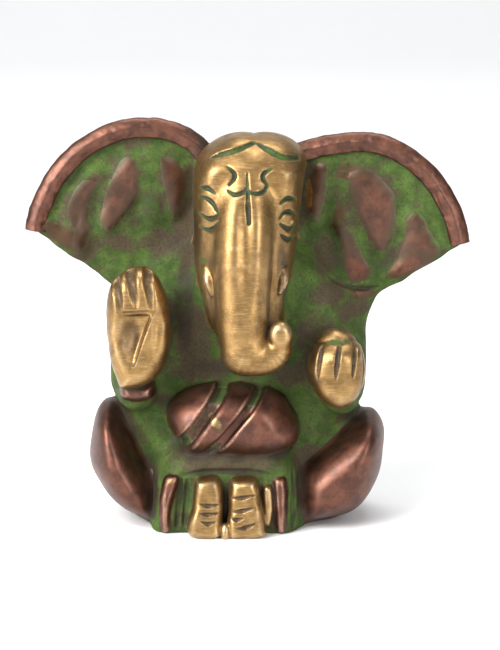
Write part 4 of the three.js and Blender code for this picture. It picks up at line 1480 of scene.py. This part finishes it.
def pale_floor():
    """A pale paper floor that turns up into a wall behind."""
    profile = [(FLOOR_FRONT + FLOOR_LENGTH * k / FLOOR_ROWS, 0.0) for k in range(FLOOR_ROWS + 1)]
    far = FLOOR_FRONT + FLOOR_LENGTH
    for k in range(1, BEND_ROWS + 1):
        turn = k / BEND_ROWS * math.pi / 2
        profile.append((far + FLOOR_BEND * math.sin(turn), FLOOR_BEND - FLOOR_BEND * math.cos(turn)))
    profile.append((far + FLOOR_BEND, WALL_TOP))
    corners = [(x, y, z) for y, z in profile for x in (-FLOOR_HALF_WIDTH, FLOOR_HALF_WIDTH)]
    quads = [(2 * k, 2 * k + 1, 2 * k + 3, 2 * k + 2) for k in range(len(profile) - 1)]
    mesh = bpy.data.meshes.new("pale_floor")
    mesh.from_pydata(corners, [], quads)
    mesh.polygons.foreach_set("use_smooth", [True] * len(quads))
    paper = Shader("pale_paper")
    tint = paper.mix(paper.noise(40, 3) * 0.5, (0.86, 0.86, 0.86), (0.90, 0.90, 0.90))
    paper.feed(paper.surface.inputs["Base Color"], tint)
    paper.surface.inputs["Roughness"].default_value = 0.7
    mesh.materials.append(paper.material)
    floor = bpy.data.objects.new("pale_floor", mesh)
    bpy.context.scene.collection.objects.link(floor)


WORLD_COLOUR = (0.95, 0.97, 1.0, 1)
GLOW_FROM = (-0.15, -0.6, 0.8)  # where the surround is brightest, which the metal mirrors
GLOW_RANGE = (-0.2, 0.95, 0.07, 0.55)  # how much a direction faces that, low and high, and its strength


def studio_world():
    """A soft surround that is brighter above and in front."""
    world = bpy.data.worlds.new("studio")
    bpy.context.scene.world = world
    world.use_nodes = True
    nodes, links = world.node_tree.nodes, world.node_tree.links
    backdrop = nodes["Background"].inputs
    backdrop["Color"].default_value = WORLD_COLOUR
    facing = nodes.new("ShaderNodeVectorMath")
    facing.operation = "DOT_PRODUCT"
    facing.inputs[1].default_value = GLOW_FROM
    glow = nodes.new("ShaderNodeMapRange")
    for socket, level in zip(glow.inputs[1:5], GLOW_RANGE):
        socket.default_value = level
    links.new(nodes.new("ShaderNodeTexCoord").outputs["Generated"], facing.inputs[0])
    links.new(facing.outputs["Value"], glow.inputs[0])
    links.new(glow.outputs[0], backdrop["Strength"])


LIGHT_TARGET = np.array([0, 0, 0.03])


def softbox(name, place, size, power):
    """A rectangular area light that faces the figure."""
    light = bpy.data.lights.new(name, "AREA")
    light.shape = "RECTANGLE"
    light.size, light.size_y = size
    light.energy = power
    lamp = bpy.data.objects.new(name, light)
    lamp.location = place
    away = np.array(place) - LIGHT_TARGET
    yaw = math.atan2(away[0], -away[1])
    lean = math.atan2(math.hypot(away[0], away[1]), away[2])
    lamp.rotation_euler = (lean, 0, yaw)
    bpy.context.scene.collection.objects.link(lamp)


pale_floor()
studio_world()
bpy.context.scene.view_settings.view_transform = "Standard"
softbox("key", (-0.42, -0.42, 0.5), (0.4, 0.5), 7.5)
softbox("side", (-0.5, -0.34, 0.2), (0.14, 0.5), 3.2)
softbox("fill", (0.45, -0.5, 0.25), (0.12, 0.5), 2.6)
softbox("top", (0.05, 0.15, 0.7), (0.5, 0.3), 3.2)

DISTANCE, TILT = 0.34, math.radians(12)
VIEW_TARGET = np.array([0.0002, 0.0, 0.0266])
camera = bpy.data.cameras.new("camera")
camera.sensor_width = 36
camera.lens = 137.8
camera.clip_start = 0.01
view = bpy.data.objects.new("camera", camera)
view.location = VIEW_TARGET + DISTANCE * np.array([0, -math.cos(TILT), math.sin(TILT)])
view.rotation_euler = (math.pi / 2 - TILT, 0, 0)
bpy.context.scene.collection.objects.link(view)
bpy.context.scene.camera = view
